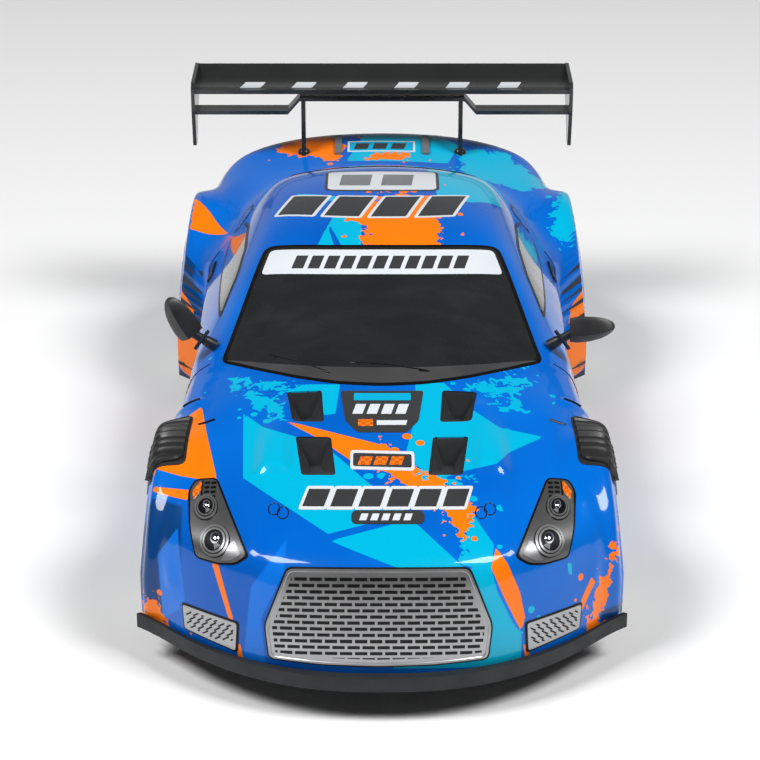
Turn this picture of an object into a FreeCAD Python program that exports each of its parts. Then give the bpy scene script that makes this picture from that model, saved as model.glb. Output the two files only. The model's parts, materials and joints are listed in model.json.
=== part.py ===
"""Remote control touring car, 1:16 class: a printed lift-off body over a plastic tub chassis.

Frame: +Z up, the nose faces -Y, X across the car, origin on the ground below the middle of the car.
All sizes are millimetres. "left" and "right" are the driver's: left is +X.
"""
import FreeCAD, Part
import math
import os

import Sketcher

os.makedirs("parts", exist_ok=True)
Vec = FreeCAD.Vector
doc = FreeCAD.newDocument("remote_control_car")

# ---------------------------------------------------------------- driving dimensions
DIMENSIONS = {
    "front_axle_y": -80, "rear_axle_y": 87, "axle_height": 21,
    "tyre_radius": 21, "rim_radius": 15.5, "front_tyre_width": 17, "rear_tyre_width": 20,
    "front_tyre_inner": 42.5, "rear_tyre_inner": 43, "axle_radius": 1.5, "running_gap": 0.1,
    "spoke_count": 10, "hub_radius": 5,
    "floor_bottom": 8, "floor_thickness": 2, "tub_top": 18, "tub_wall": 1.8,
    "tub_front": -110, "tub_rear": 116, "tub_nose_half": 24, "tub_mid_half": 43, "tub_tail_half": 30,
    "kingpin_x": 34, "kingpin_radius": 1.5, "arm_thickness": 3, "knuckle_radius": 4.5,
    "brace_bottom": 30.5, "brace_thickness": 3,
    "steering_arm": 12, "steering_pin_radius": 1.2, "slot_gap": 0.25,
    "bar_bottom": 22.5, "bar_thickness": 3, "bar_half_length": 37.5,
    "servo_y": -56, "servo_top": 25.2,
    "gear_module": 0.6, "axle_teeth": 32, "small_teeth": 12, "large_teeth": 32, "pinion_teeth": 10,
    "gear_width": 4, "shaft_radius": 1, "motor_radius": 10.2, "motor_length": 32,
    "gearbox_left_x": 5.5, "gearbox_split_x": 12.6, "gearbox_right_x": 19.5, "gearbox_wall": 1.8,
    "gearbox_top": 34.5, "gearbox_front": 54, "gearbox_rear": 100, "bush_radius": 3,
    "cell_radius": 7, "cell_length": 50, "cell_pitch": 14.3, "bay_front": -21, "bay_length": 52,
    "bay_half": 29.2, "door_thickness": 1.3, "door_gap": 0.3, "rail_width": 2,
    "post_radius": 3, "post_top": 40, "magnet_height": 1.2, "front_post_x": 17, "front_post_y": -103,
    "rear_post_x": 22, "rear_post_y": 110,
    "shell_base": 10, "shell_skin": 1, "front_arch": 23.5, "rear_arch": 24.5,
    "nose_y": 137, "splitter_reach": 3.1, "splitter_bottom": 9.3, "splitter_top": 13.3,
    "splitter_plate": 0.6,
    "wing_half_span": 62.3, "wing_front": 118, "wing_rear": 140, "wing_z": 85, "wing_thickness": 1.5,
    "endplate_thickness": 1.2, "upright_x": 26.3, "upright_thickness": 1.4,
    "mirror_stalk_radius": 1, "mirror_length": 6.5, "mirror_width": 4.1, "mirror_depth": 2.2,
}
sheet = doc.addObject("Spreadsheet::Sheet", "Sizes")
for line, (word, number) in enumerate(DIMENSIONS.items(), 1):
    sheet.set(f"A{line}", word)
    sheet.set(f"B{line}", str(number))
    sheet.setAlias(f"B{line}", word)
doc.recompute()


class Size:
    """A number together with the sheet expression that gives it."""

    def __init__(self, value, text):
        self.value = value
        self.text = text

    def join(self, other, sign, value):
        return Size(value, f"({self.text} {sign} {text_of(other)})")

    def __add__(self, other):
        return self.join(other, "+", self.value + value_of(other))

    def __sub__(self, other):
        return self.join(other, "-", self.value - value_of(other))

    def __mul__(self, other):
        return self.join(other, "*", self.value * value_of(other))

    def __truediv__(self, other):
        return self.join(other, "/", self.value / value_of(other))

    def __neg__(self):
        return self * -1

    __radd__ = __add__
    __rmul__ = __mul__

    def __rsub__(self, other):
        return -self + other


def value_of(item):
    return item.value if isinstance(item, Size) else item


def text_of(item):
    return item.text if isinstance(item, Size) else f"({item})"


class Sheet:
    """Gives each alias of the sheet as a Size: D.tyre_radius."""

    def __getattr__(self, word):
        return Size(float(getattr(sheet, word)), f"Sizes.{word}")


D = Sheet()
floor_top = D.floor_bottom + D.floor_thickness


# ---------------------------------------------------------------- helpers
def bind(obj, path, item):
    """Sets a property and, where it comes from the sheet, binds it to its expression."""
    if "." not in path:
        setattr(obj, path, value_of(item))
    if isinstance(item, Size):
        obj.setExpression(path, item.text)


def place(obj, x=0, y=0, z=0, turn=None):
    """Gives an object its place, bound axis by axis, and an optional rotation."""
    obj.Placement = FreeCAD.Placement(Vec(value_of(x), value_of(y), value_of(z)), turn or FreeCAD.Rotation())
    for axis, item in (("x", x), ("y", y), ("z", z)):
        bind(obj, f"Placement.Base.{axis}", item)
    return obj


ALONG = {
    "X": FreeCAD.Rotation(Vec(0, 1, 0), 90),
    "-X": FreeCAD.Rotation(Vec(0, 1, 0), -90),
    "Y": FreeCAD.Rotation(Vec(1, 0, 0), -90),
    "Z": FreeCAD.Rotation(),
}


def box(name, xs, ys, zs):
    """A block between two places on each axis."""
    obj = doc.addObject("Part::Box", name)
    for prop, (low, high) in (("Length", xs), ("Width", ys), ("Height", zs)):
        bind(obj, prop, high - low)
    return place(obj, xs[0], ys[0], zs[0])


def rod(name, radius, start, length, along="Z"):
    """A round bar from its start point, along an axis."""
    obj = doc.addObject("Part::Cylinder", name)
    bind(obj, "Radius", radius)
    bind(obj, "Height", length)
    return place(obj, *start, turn=ALONG[along])


def fuse(name, pieces):
    obj = doc.addObject("Part::MultiFuse", name)
    obj.Shapes = pieces
    return obj


def group(name, pieces):
    """Separate solids that share one node."""
    obj = doc.addObject("Part::Compound", name)
    obj.Links = pieces
    return obj


def cut(name, base, tools):
    obj = doc.addObject("Part::Cut", name)
    obj.Base = base
    obj.Tool = tools[0] if len(tools) == 1 else fuse(f"{name}_tools", tools)
    return obj


def common(name, pieces):
    obj = doc.addObject("Part::MultiCommon", name)
    obj.Shapes = pieces
    return obj


def new_body(name):
    body = doc.addObject("PartDesign::Body", name)
    body.Label = name
    return body


def new_sketch(body, name, plane, offset=0):
    """A sketch on one of the body's own origin planes, moved along its normal."""
    sketch = body.newObject("Sketcher::SketchObject", name)
    role = f"{plane}_Plane"
    origin = [item for item in body.Origin.OriginFeatures if item.Role == role][0]
    sketch.AttachmentSupport = [(origin, "")]
    sketch.MapMode = "FlatFace"
    sketch.AttachmentOffset = FreeCAD.Placement(Vec(0, 0, value_of(offset)), FreeCAD.Rotation())
    bind(sketch, "AttachmentOffset.Base.z", offset)
    return sketch


def draw_polygon(sketch, corners):
    """A closed outline whose corners are held at their distances from the sketch origin."""
    points = [Vec(value_of(u), value_of(v), 0) for u, v in corners]
    first = sketch.GeometryCount
    count = len(points)
    for i in range(count):
        sketch.addGeometry(Part.LineSegment(points[i], points[(i + 1) % count]))
    for i in range(count):
        sketch.addConstraint(Sketcher.Constraint("Coincident", first + i, 2, first + (i + 1) % count, 1))
    for i, corner in enumerate(corners):
        for kind, item in zip(("DistanceX", "DistanceY"), corner):
            index = sketch.addConstraint(Sketcher.Constraint(kind, -1, 1, first + i, 1, value_of(item)))
            if isinstance(item, Size):
                sketch.setExpression(f"Constraints[{index}]", item.text)


def draw_circle(sketch, radius, u=0, v=0):
    index = sketch.addGeometry(Part.Circle(Vec(u, v, 0), Vec(0, 0, 1), value_of(radius)))
    if u == 0 and v == 0:
        sketch.addConstraint(Sketcher.Constraint("Coincident", index, 3, -1, 1))
    at = sketch.addConstraint(Sketcher.Constraint("Radius", index, value_of(radius)))
    if isinstance(radius, Size):
        sketch.setExpression(f"Constraints[{at}]", radius.text)


def pad(body, name, sketch, length, midplane=False):
    feature = body.newObject("PartDesign::Pad", name)
    feature.Profile = sketch
    bind(feature, "Length", length)
    feature.Midplane = midplane
    return feature


def plate(name, plane, corners, length, offset=0):
    """A flat piece: an outline on a plane, thickened equally to both sides of the offset."""
    body = new_body(name)
    sketch = new_sketch(body, f"{name}_outline", plane, offset)
    draw_polygon(sketch, corners)
    pad(body, f"{name}_pad", sketch, length, midplane=True)
    return body


def turned(name, profile):
    """A piece turned about the X axis from (x, radius) corners."""
    body = new_body(name)
    sketch = new_sketch(body, f"{name}_profile", "XZ")
    draw_polygon(sketch, profile)
    feature = body.newObject("PartDesign::Revolution", f"{name}_turned")
    feature.Profile = sketch
    feature.ReferenceAxis = (sketch, ["H_Axis"])
    feature.Angle = 360
    return body


def polar(body, name, feature, sketch, count):
    """Repeats a feature round the normal of its sketch."""
    pattern = body.newObject("PartDesign::PolarPattern", name)
    pattern.Originals = [feature]
    pattern.Axis = (sketch, ["N_Axis"])
    pattern.Angle = 360
    pattern.Occurrences = int(count.value)
    pattern.setExpression("Occurrences", count.text)
    body.Tip = pattern
    return pattern


def mirrored(points):
    """The whole outline from the corners of its +X half, front to rear."""
    return points + [(-u, v) for u, v in reversed(points)]


SIDES = (("left", 1), ("right", -1))
nodes = {}


def keep(name, obj):
    """Registers a finished sub-part under its node name."""
    obj.Label = name
    nodes[name] = obj
    return obj


# ---------------------------------------------------------------- outer form of the body
# Each table gives a smooth curve along the car: (y, value) knots.
DECK = ((-140, 39), (-132, 42.5), (-120, 45.5), (-100, 49.5), (-78, 53.2), (-56, 56.6), (-35, 58),
        (20, 58.5), (60, 60), (95, 62.2), (118, 63.8), (128, 65.6), (137, 67.4))
CROWN = ((-140, 9), (-120, 6.5), (-80, 5), (-45, 6.5), (0, 9), (45, 8), (85, 4.5), (120, 3.8), (137, 4.2))
WIDTH = ((-140, 60.2), (-108, 61), (-80, 61.8), (-55, 60.3), (-32, 58.2), (-21, 57.6), (-13, 53.6),
         (5, 53), (30, 53.6), (46, 55), (58, 60.5), (72, 63.6), (87, 62.4), (104, 60.6), (120, 59), (137, 54))
ROOF = ((-66, 50.5), (-54, 56.8), (-31, 67.2), (-12, 75.4), (0, 78.6), (18, 80.8), (38, 81.2),
        (56, 79.8), (74, 74.7), (96, 65), (112, 55))
CABIN = ((-60, 42), (-45, 46), (-30, 49), (0, 50.5), (30, 50.5), (52, 49), (75, 45.5), (95, 40), (115, 33))
SCREEN_BOW = ((-60, 1.25), (-5, 0.75), (25, 0))
REAR_BOW = ((40, 0), (90, 1))
# Each flare: its place along the car, radius, half width, softness of its edges, and where it starts.
FLARES = ((-80, 29.6, 62.6, 2.4, 47), (87, 36.8, 65.4, 2, 51))


def knot(place_y, table):
    """A smooth curve through the knots of a table, flat past its ends."""
    if place_y <= table[0][0]:
        return table[0][1]
    if place_y >= table[-1][0]:
        return table[-1][1]
    i = 0
    while table[i + 1][0] < place_y:
        i += 1

    def slope(j):
        low, high = table[max(j - 1, 0)], table[min(j + 1, len(table) - 1)]
        return (high[1] - low[1]) / (high[0] - low[0])

    span = table[i + 1][0] - table[i][0]
    t = (place_y - table[i][0]) / span
    start = (2 * t**3 - 3 * t**2 + 1) * table[i][1] + (t**3 - 2 * t**2 + t) * span * slope(i)
    return start + (3 * t**2 - 2 * t**3) * table[i + 1][1] + (t**3 - t**2) * span * slope(i + 1)


def soft_max(a, b, softness):
    return 0.5 * (a + b + math.sqrt((a - b) ** 2 + softness**2))


def soft_min(a, b, softness):
    return 0.5 * (a + b - math.sqrt((a - b) ** 2 + softness**2))


def over(amount, limit):
    return max(amount - limit, 0)


def form(x, y, z):
    """About the distance from the body's outer surface: negative inside the car."""
    x = abs(x)
    deck = z - (knot(y, DECK) - knot(y, CROWN) * (x / 60) ** 2)
    flank = x - (knot(y, WIDTH) - 0.11 * over(z, 24))
    nose = (-137 + 31 * (x / 62) ** 2.4 + 0.16 * over(z, 22)) - y
    tail = y - (137 - 17 * (x / 62) ** 3 - 0.10 * over(26, z))
    lower = soft_max(soft_max(soft_max(deck, flank, 7), nose, 5), tail, 4)
    bow = 12 * (x / 44) ** 2
    roof_y = y - bow * knot(y, SCREEN_BOW) + 0.6 * bow * knot(y, REAR_BOW)
    roof = z - (knot(roof_y, ROOF) - 2.6 * (x / 36) ** 2)
    glass = x - (knot(y, CABIN) - 0.62 * (over(z, 50) - 5))
    cabin = soft_max(roof, glass * 0.85, 6)
    cabin = soft_max(cabin, soft_max(-y - 62, y - 110, 2), 3)
    result = soft_min(lower, cabin, 3)
    for flare_y, radius, half, soft, inner in FLARES:
        around = math.hypot(y - flare_y, z - 22.5) - radius
        flare = soft_max(around, x - (half - 0.10 * over(z, 24)), soft)
        result = soft_min(result, soft_max(flare, inner - x, 4), 3)
    sill = soft_max(soft_max(z - 13.5, x - 57.5, 2), soft_max(y - 52, -y - 52, 4), 2)
    return soft_min(result, sill, 2)


def reach(start, way, offset):
    """The point along a direction where the form, grown by an offset, ends."""
    low, high = 0.1, 1.8
    for _ in range(30):
        middle = (low + high) / 2
        if form(*(start + way * middle)) < offset:
            low = middle
        else:
            high = middle
    return start + way * (low + high) / 2


def top_of_form(x, y, offset):
    """The height where a vertical line leaves the form, grown by an offset."""
    low, high = 40, 90
    for _ in range(30):
        middle = (low + high) / 2
        if form(x, y, middle) < offset:
            low = middle
        else:
            high = middle
    return low


ACROSS, DOWN = 41, 65
SCREW_HEAD = 1.2


def skin(offset):
    """The outer form, grown by an offset, as one spline face, and the flat face that closes it below."""
    base = D.shell_base.value
    poles = []
    for j in range(DOWN):
        t = -1 + 2 * j / (DOWN - 1)
        row = [None] * ACROSS
        for i in range((ACROSS + 1) // 2):
            s = -1 + 2 * i / (ACROSS - 1)
            rim = i == 0 or j in (0, DOWN - 1)
            height = 0 if rim else (math.cos(s * math.pi / 2) * math.cos(t * math.pi / 2)) ** 0.8
            way = Vec(66 * math.sin(s * math.pi / 2), 138 * math.sin(t * math.pi / 2), 80 * height)
            point = reach(Vec(0, 0, base), way, offset)
            row[i] = point
            row[ACROSS - 1 - i] = Vec(-point.x, point.y, point.z)
        poles.append(row)

    def ends(count):
        return [4] + [1] * (count - 4) + [4], [float(k) for k in range(count - 2)]

    surface = Part.BSplineSurface()
    (down_mults, down_knots), (across_mults, across_knots) = ends(DOWN), ends(ACROSS)
    surface.buildFromPolesMultsKnots(poles, down_mults, across_mults, down_knots, across_knots,
                                     False, False, 3, 3)
    face = surface.toShape()
    flat = Part.Face(Part.Plane(Vec(0, 0, base), Vec(0, 0, 1)), Part.Wire(face.OuterWire.Edges))
    return face, flat


def feature(name, shape):
    obj = doc.addObject("Part::Feature", name)
    obj.Shape = shape
    return obj


def solid_of(faces):
    solid = Part.Solid(Part.Shell(faces))
    if solid.Volume < 0:
        solid.reverse()
    return solid


outer_face, outer_flat = skin(0)
inner_face, inner_flat = skin(-D.shell_skin.value)
proud_face, proud_flat = skin(1.3)
outer_form = feature("outer_form", solid_of([outer_face, outer_flat]))
inner_form = feature("inner_form", solid_of([inner_face, inner_flat]))
proud_form = feature("proud_form", solid_of([proud_face, proud_flat]))
rim_ring = outer_flat.cut(inner_flat).Faces
hollow_form = feature("hollow_form", solid_of([outer_face, inner_face] + rim_ring))


# ---------------------------------------------------------------- body shell and its fittings
def build_body_shell():
    arches = []
    for side, sign in SIDES:
        wheels = ("front", D.front_axle_y, D.front_arch), ("rear", D.rear_axle_y, D.rear_arch)
        for end, axle_y, radius in wheels:
            start = (70 * sign, axle_y, D.axle_height)
            arches.append(rod(f"{end}_arch_{side}", radius, start, 28, "-X" if sign > 0 else "X"))
    keep("body_shell", cut("body_shell_cut", hollow_form, arches))


def build_louvres():
    """Ribbed black inserts on the outer top corner of each front fender."""
    for side, sign in SIDES:
        span = sorted((51.5 * sign, 64 * sign))
        block = box(f"louvre_{side}_block", span, (-92, -64), (42, 60))
        pad_shape = common(f"louvre_{side}_pad", [proud_form, block])
        grooves = [box(f"louvre_{side}_groove_{i}", sorted((53 * sign, 66 * sign)), (y, y + 1.3), (40, 62))
                   for i, y in enumerate((-88.5, -84.5, -80.5, -76.5, -72.5, -68.5))]
        groove_set = fuse(f"louvre_{side}_grooves", grooves)
        ribs = cut(f"louvre_{side}_ribs", pad_shape, [outer_form, groove_set])
        # the ribs stay one piece on a strip along the inner edge
        keep(f"fender_louvre_{side}", ribs)


def build_wing():
    middle_y = (D.wing_front + D.wing_rear) / 2
    body = new_body("wing_main_plane")
    sketch = new_sketch(body, "wing_section", "YZ")
    low, high = D.wing_z.value - 0.6, D.wing_z.value + 1.9
    front, middle, rear = D.wing_front.value, middle_y.value, D.wing_rear.value
    thick = D.wing_thickness.value
    corners = [Vec(front, low, 0), Vec(middle, low - 0.7, 0), Vec(rear, high, 0)]
    lifted = [p + Vec(0, thick, 0) for p in corners]
    sketch.addGeometry(Part.Arc(*corners))
    sketch.addGeometry(Part.LineSegment(corners[2], lifted[2]))
    sketch.addGeometry(Part.Arc(lifted[2], lifted[1], lifted[0]))
    sketch.addGeometry(Part.LineSegment(lifted[0], corners[0]))
    pad(body, "wing_span", sketch, D.wing_half_span * 2, midplane=True)
    keep("wing_main_plane", body)

    top, drop, thin = D.wing_z - 2.2, 4.6, 1.3
    flap = [(D.wing_half_span, top - drop), (31.5, top - drop), (27.5, top), (-27.5, top), (-31.5, top - drop),
            (-D.wing_half_span, top - drop)]
    flap += [(u, v - thin) for u, v in reversed(flap)]
    keep("wing_lower_flap", plate("wing_lower_flap", "XZ", flap, 6.5, offset=-122.5))

    outline = [(116.5, 86.4), (118, 88.4), (D.wing_rear, 88.6), (D.wing_rear, 80.5), (130, 74), (124.5, 66),
               (119.5, 66), (116.5, 79)]
    foot = [(117, 56), (125.5, 56), (125, 66), (125.5, top - thin), (119, top - thin), (118.6, 66)]
    for side, sign in SIDES:
        middle_x = (D.wing_half_span + D.endplate_thickness / 2) * sign
        keep(f"wing_endplate_{side}",
             plate(f"wing_endplate_{side}", "YZ", outline, D.endplate_thickness, offset=middle_x))
        blank = plate(f"wing_upright_{side}_blank", "YZ", foot, D.upright_thickness, offset=D.upright_x * sign)
        keep(f"wing_upright_{side}", cut(f"wing_upright_{side}_fit", blank, [outer_form]))
    screws = []
    for side, sign in SIDES:
        for i, y in enumerate((118.8, 123.4)):
            name = f"wing_screw_{side}_{i}"
            under_skin = top_of_form(D.upright_x.value, y, -D.shell_skin.value) - SCREW_HEAD
            head = rod(f"{name}_head", 1.6, (D.upright_x * sign, y, under_skin - 0.3), SCREW_HEAD)
            screws.append(head)
    keep("wing_screws", group("wing_screws_set", screws))


# Each mirror: the stalk leaves its base on the cabin side and carries the housing out and up.
MIRROR_BASE = Vec(50.2, -28, 57.6)
MIRROR_JOINT = Vec(54.8, -29, 60.9)
MIRROR_TILT = {"left": 2, "right": 57}


def build_mirrors():
    for side, sign in SIDES:
        base = Vec(MIRROR_BASE.x * sign, MIRROR_BASE.y, MIRROR_BASE.z)
        joint = Vec(MIRROR_JOINT.x * sign, MIRROR_JOINT.y, MIRROR_JOINT.z)
        stalk_way = joint - base
        turn = FreeCAD.Rotation(Vec(0, 0, 1), stalk_way)
        stalk = doc.addObject("Part::Cylinder", f"mirror_{side}_stalk")
        bind(stalk, "Radius", D.mirror_stalk_radius)
        stalk.Height = stalk_way.Length + 3
        stalk.Placement = FreeCAD.Placement(base, turn)
        leaf = doc.addObject("Part::Ellipsoid", f"mirror_{side}_leaf")
        bind(leaf, "Radius1", D.mirror_depth)
        bind(leaf, "Radius2", D.mirror_length)
        bind(leaf, "Radius3", D.mirror_width)
        angle = math.radians(MIRROR_TILT[side])
        way = Vec(math.cos(angle) * sign, 0, math.sin(angle))
        centre = joint + way * (D.mirror_length.value * 0.74)
        frame = FreeCAD.Rotation(way, Vec(0, 0, 1), Vec(0, 1, 0), "ZXY")
        leaf.Placement = FreeCAD.Placement(centre, frame)
        keep(f"mirror_housing_{side}", fuse(f"mirror_{side}_whole", [stalk, leaf]))

        block = box(f"mirror_{side}_block", sorted((45 * sign, 51.4 * sign)), (-29.8, -26.2), (55.6, 59.2))
        bore = doc.addObject("Part::Cylinder", f"mirror_{side}_bore")
        bind(bore, "Radius", D.mirror_stalk_radius + 0.08)
        bore.Height = 30
        bore.Placement = FreeCAD.Placement(base - stalk_way * 0.06, turn)
        keep(f"mirror_base_{side}", cut(f"mirror_{side}_clip", block, [outer_form, bore]))


def post_places():
    return ((D.front_post_x, D.front_post_y), (D.rear_post_x, D.rear_post_y))


def build_body_mounts():
    """Four posts with magnets on the tub, and four bosses with steel pads inside the shell."""
    posts, magnets, bosses, pads = [], [], [], []
    pad_bottom = D.post_top + D.magnet_height + 0.3
    for row, (post_x, post_y) in enumerate(post_places()):
        for side, sign in SIDES:
            at = (post_x * sign, post_y)
            name = f"{side}_{row}"
            posts.append(rod(f"post_{name}", D.post_radius, (*at, floor_top), D.post_top - floor_top))
            magnets.append(rod(f"magnet_{name}", D.post_radius - 0.4, (*at, D.post_top), D.magnet_height))
            pads.append(rod(f"steel_pad_{name}", D.post_radius, (*at, pad_bottom), 0.8))
            blank = rod(f"boss_{name}_blank", D.post_radius + 0.6, (*at, pad_bottom + 0.8), 30)
            bosses.append(common(f"boss_{name}", [blank, inner_form]))
    keep("body_posts", group("body_posts_set", posts))
    keep("body_magnets", group("body_magnets_set", magnets))
    keep("shell_steel_pads", group("shell_steel_pads_set", pads))
    keep("shell_bosses", group("shell_bosses_set", bosses))


# ---------------------------------------------------------------- tub chassis
def build_tub():
    half = [(D.tub_nose_half, D.tub_front), (D.tub_nose_half + 2, -62), (D.tub_mid_half, -48),
            (D.tub_mid_half, 50), (D.tub_tail_half, 62), (D.tub_tail_half, D.tub_rear)]
    w = D.tub_wall
    inside = [(D.tub_nose_half - w, D.tub_front + w), (D.tub_nose_half + 2 - w, -61.2),
              (D.tub_mid_half - w, -47.2),
              (D.tub_mid_half - w, 49.2), (D.tub_tail_half - w, 61.2), (D.tub_tail_half - w, D.tub_rear - w)]
    body = new_body("tub_tray")
    outline = new_sketch(body, "tub_outline", "XY", D.floor_bottom)
    draw_polygon(outline, mirrored(half))
    pad(body, "tub_block", outline, D.tub_top - D.floor_bottom)
    well = new_sketch(body, "tub_inside", "XY", D.tub_top)
    draw_polygon(well, mirrored(inside))
    pocket = body.newObject("PartDesign::Pocket", "tub_well")
    pocket.Profile = well
    bind(pocket, "Length", D.tub_top - floor_top)

    added = [body]
    for side, sign in SIDES:
        arm_x = sorted((22.5 * sign, D.kingpin_x.value * sign))
        added.append(box(f"lower_arm_{side}", arm_x, (D.front_axle_y - 6, D.front_axle_y + 6),
                         (floor_top, floor_top + D.arm_thickness)))
        added.append(rod(f"arm_eye_{side}", D.knuckle_radius, (D.kingpin_x * sign, D.front_axle_y, floor_top),
                         D.arm_thickness))
        edge = D.bay_half + 2.1
        rail_low = D.floor_bottom - D.door_thickness - D.door_gap * 2 - 0.9
        bay_rear = D.bay_front + D.bay_length
        ys = (D.bay_front - 3, bay_rear + 3)
        if sign > 0:
            wall_x, lip_x = (edge, edge + D.rail_width), (edge - D.rail_width, edge)
        else:
            wall_x, lip_x = (-edge - D.rail_width, -edge), (-edge, -edge + D.rail_width)
        added.append(box(f"door_rail_{side}", wall_x, ys, (rail_low, D.floor_bottom)))
        added.append(box(f"door_lip_{side}", lip_x, ys, (rail_low, rail_low + 0.9)))
    whole = fuse("tub_whole", added)

    bay = box("battery_bay", (-D.bay_half, D.bay_half), (D.bay_front, D.bay_front + D.bay_length), (5, 12))
    slot = box("switch_slot", (-39.4, -34.6), (35.4, 44.6), (6, 12))
    pins = [rod(f"kingpin_hole_{side}", D.kingpin_radius, (D.kingpin_x * sign, D.front_axle_y, 5), 20)
            for side, sign in SIDES]
    keep("chassis_tub", cut("tub_cut", whole, [bay, slot] + pins))


def build_battery_bay():
    middle = floor_top - 1.8 + D.cell_radius
    start_y = D.bay_front + (D.bay_length - D.cell_length) / 2
    cells = [rod(f"cell_{i}", D.cell_radius, (D.cell_pitch * (i - 1.5), start_y, middle), D.cell_length, "Y")
             for i in range(4)]
    wrap = box("cell_wrap", (D.cell_pitch * -1.5, D.cell_pitch * 1.5), (start_y, start_y + D.cell_length),
               (middle - 3, middle + D.cell_radius))
    keep("battery_pack", fuse("battery_pack_whole", cells + [wrap]))

    top = middle + D.cell_radius
    board = box("receiver_plate", (-22, 22), (-18, 20), (top, top + 1.6))
    chips = [box(f"receiver_chip_{i}", (x, x + wide), (y, y + deep), (top + 1.6, top + 1.6 + tall))
             for i, (x, y, wide, deep, tall) in enumerate(
                 ((-18, -14, 8, 6, 1.4), (-4, -12, 10, 9, 1.8), (10, -14, 8, 8, 5), (-16, 6, 12, 8, 6),
                  (4, 5, 5, 12, 2.2), (12, 6, 7, 7, 3)))]
    keep("receiver_board", fuse("receiver_board_whole", [board] + chips))

    door_top = D.floor_bottom - D.door_gap
    door_low = door_top - D.door_thickness
    leaf = box("door_leaf", (-D.bay_half - 1.8, D.bay_half + 1.8),
               (D.bay_front - 2.5, D.bay_front + D.bay_length + 2.5), (door_low, door_top))
    grips = [box(f"door_grip_{i}", (-9, 9), (18 + 2.4 * i, 19.2 + 2.4 * i), (door_low - 0.5, door_low))
             for i in range(4)]
    keep("battery_door", fuse("battery_door_whole", [leaf] + grips))

    keep("switch_case", box("switch_case", (-41, -33), (33, 47), (floor_top, floor_top + 5)))
    stem = box("switch_stem", (-39, -35), (35.8, 40.2), (D.floor_bottom - 1.4, floor_top - 0.3))
    ridge = box("switch_ridge", (-38.6, -35.4), (37.4, 38.6), (D.floor_bottom - 2, D.floor_bottom - 1.4))
    keep("power_switch", fuse("power_switch_whole", [stem, ridge]))


# ---------------------------------------------------------------- bumpers
def front_curve(gap_middle, gap_tip, height):
    """A spline round the nose at a gap from the body, with a smaller gap at the tips."""
    centre, widest = Vec(0, -60, height), math.radians(54)
    points = []
    for k in range(-8, 9):
        angle = widest * k / 8
        way = Vec(math.sin(angle), -math.cos(angle), 0) * 80
        gap = gap_middle + (gap_tip - gap_middle) * math.sin(angle) ** 2 / math.sin(widest) ** 2
        points.append(reach(centre, way, gap))
    curve = Part.BSplineCurve()
    curve.interpolate(points)
    return curve.toShape()


def build_bumpers():
    bottom, top = D.splitter_bottom.value, D.splitter_top.value
    height = D.shell_base.value + 1.5
    outer_edge = front_curve(D.splitter_reach.value, 1.9, height)
    inner_edge = front_curve(0.5, 0.95, height)

    def ends(edge):
        return edge.Vertexes[0].Point, edge.Vertexes[-1].Point

    (outer_start, outer_end), (inner_start, inner_end) = ends(outer_edge), ends(inner_edge)
    lip = Part.Wire([outer_edge, Part.makeLine(outer_end, inner_end), inner_edge,
                     Part.makeLine(inner_start, outer_start)])
    lip_solid = Part.Face(lip).extrude(Vec(0, 0, top - bottom))
    full = Part.Wire([outer_edge, Part.makeLine(outer_end, outer_start)])
    plate_solid = Part.Face(full).extrude(Vec(0, 0, D.splitter_plate.value))
    plate_solid = plate_solid.common(Part.makeBox(140, 60, 9, Vec(-70, D.tub_front.value - 60, height)))
    splitter = lip_solid.fuse(plate_solid)
    splitter.translate(Vec(0, 0, bottom - height))
    keep("front_splitter", feature("front_splitter_form", splitter))

    outline = mirrored([(30, D.tub_rear), (46, 124), (44, 133)])
    body = plate("rear_valance", "XY", outline, D.splitter_plate, offset=D.splitter_bottom + D.splitter_plate / 2)
    keep("rear_valance", body)


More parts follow.
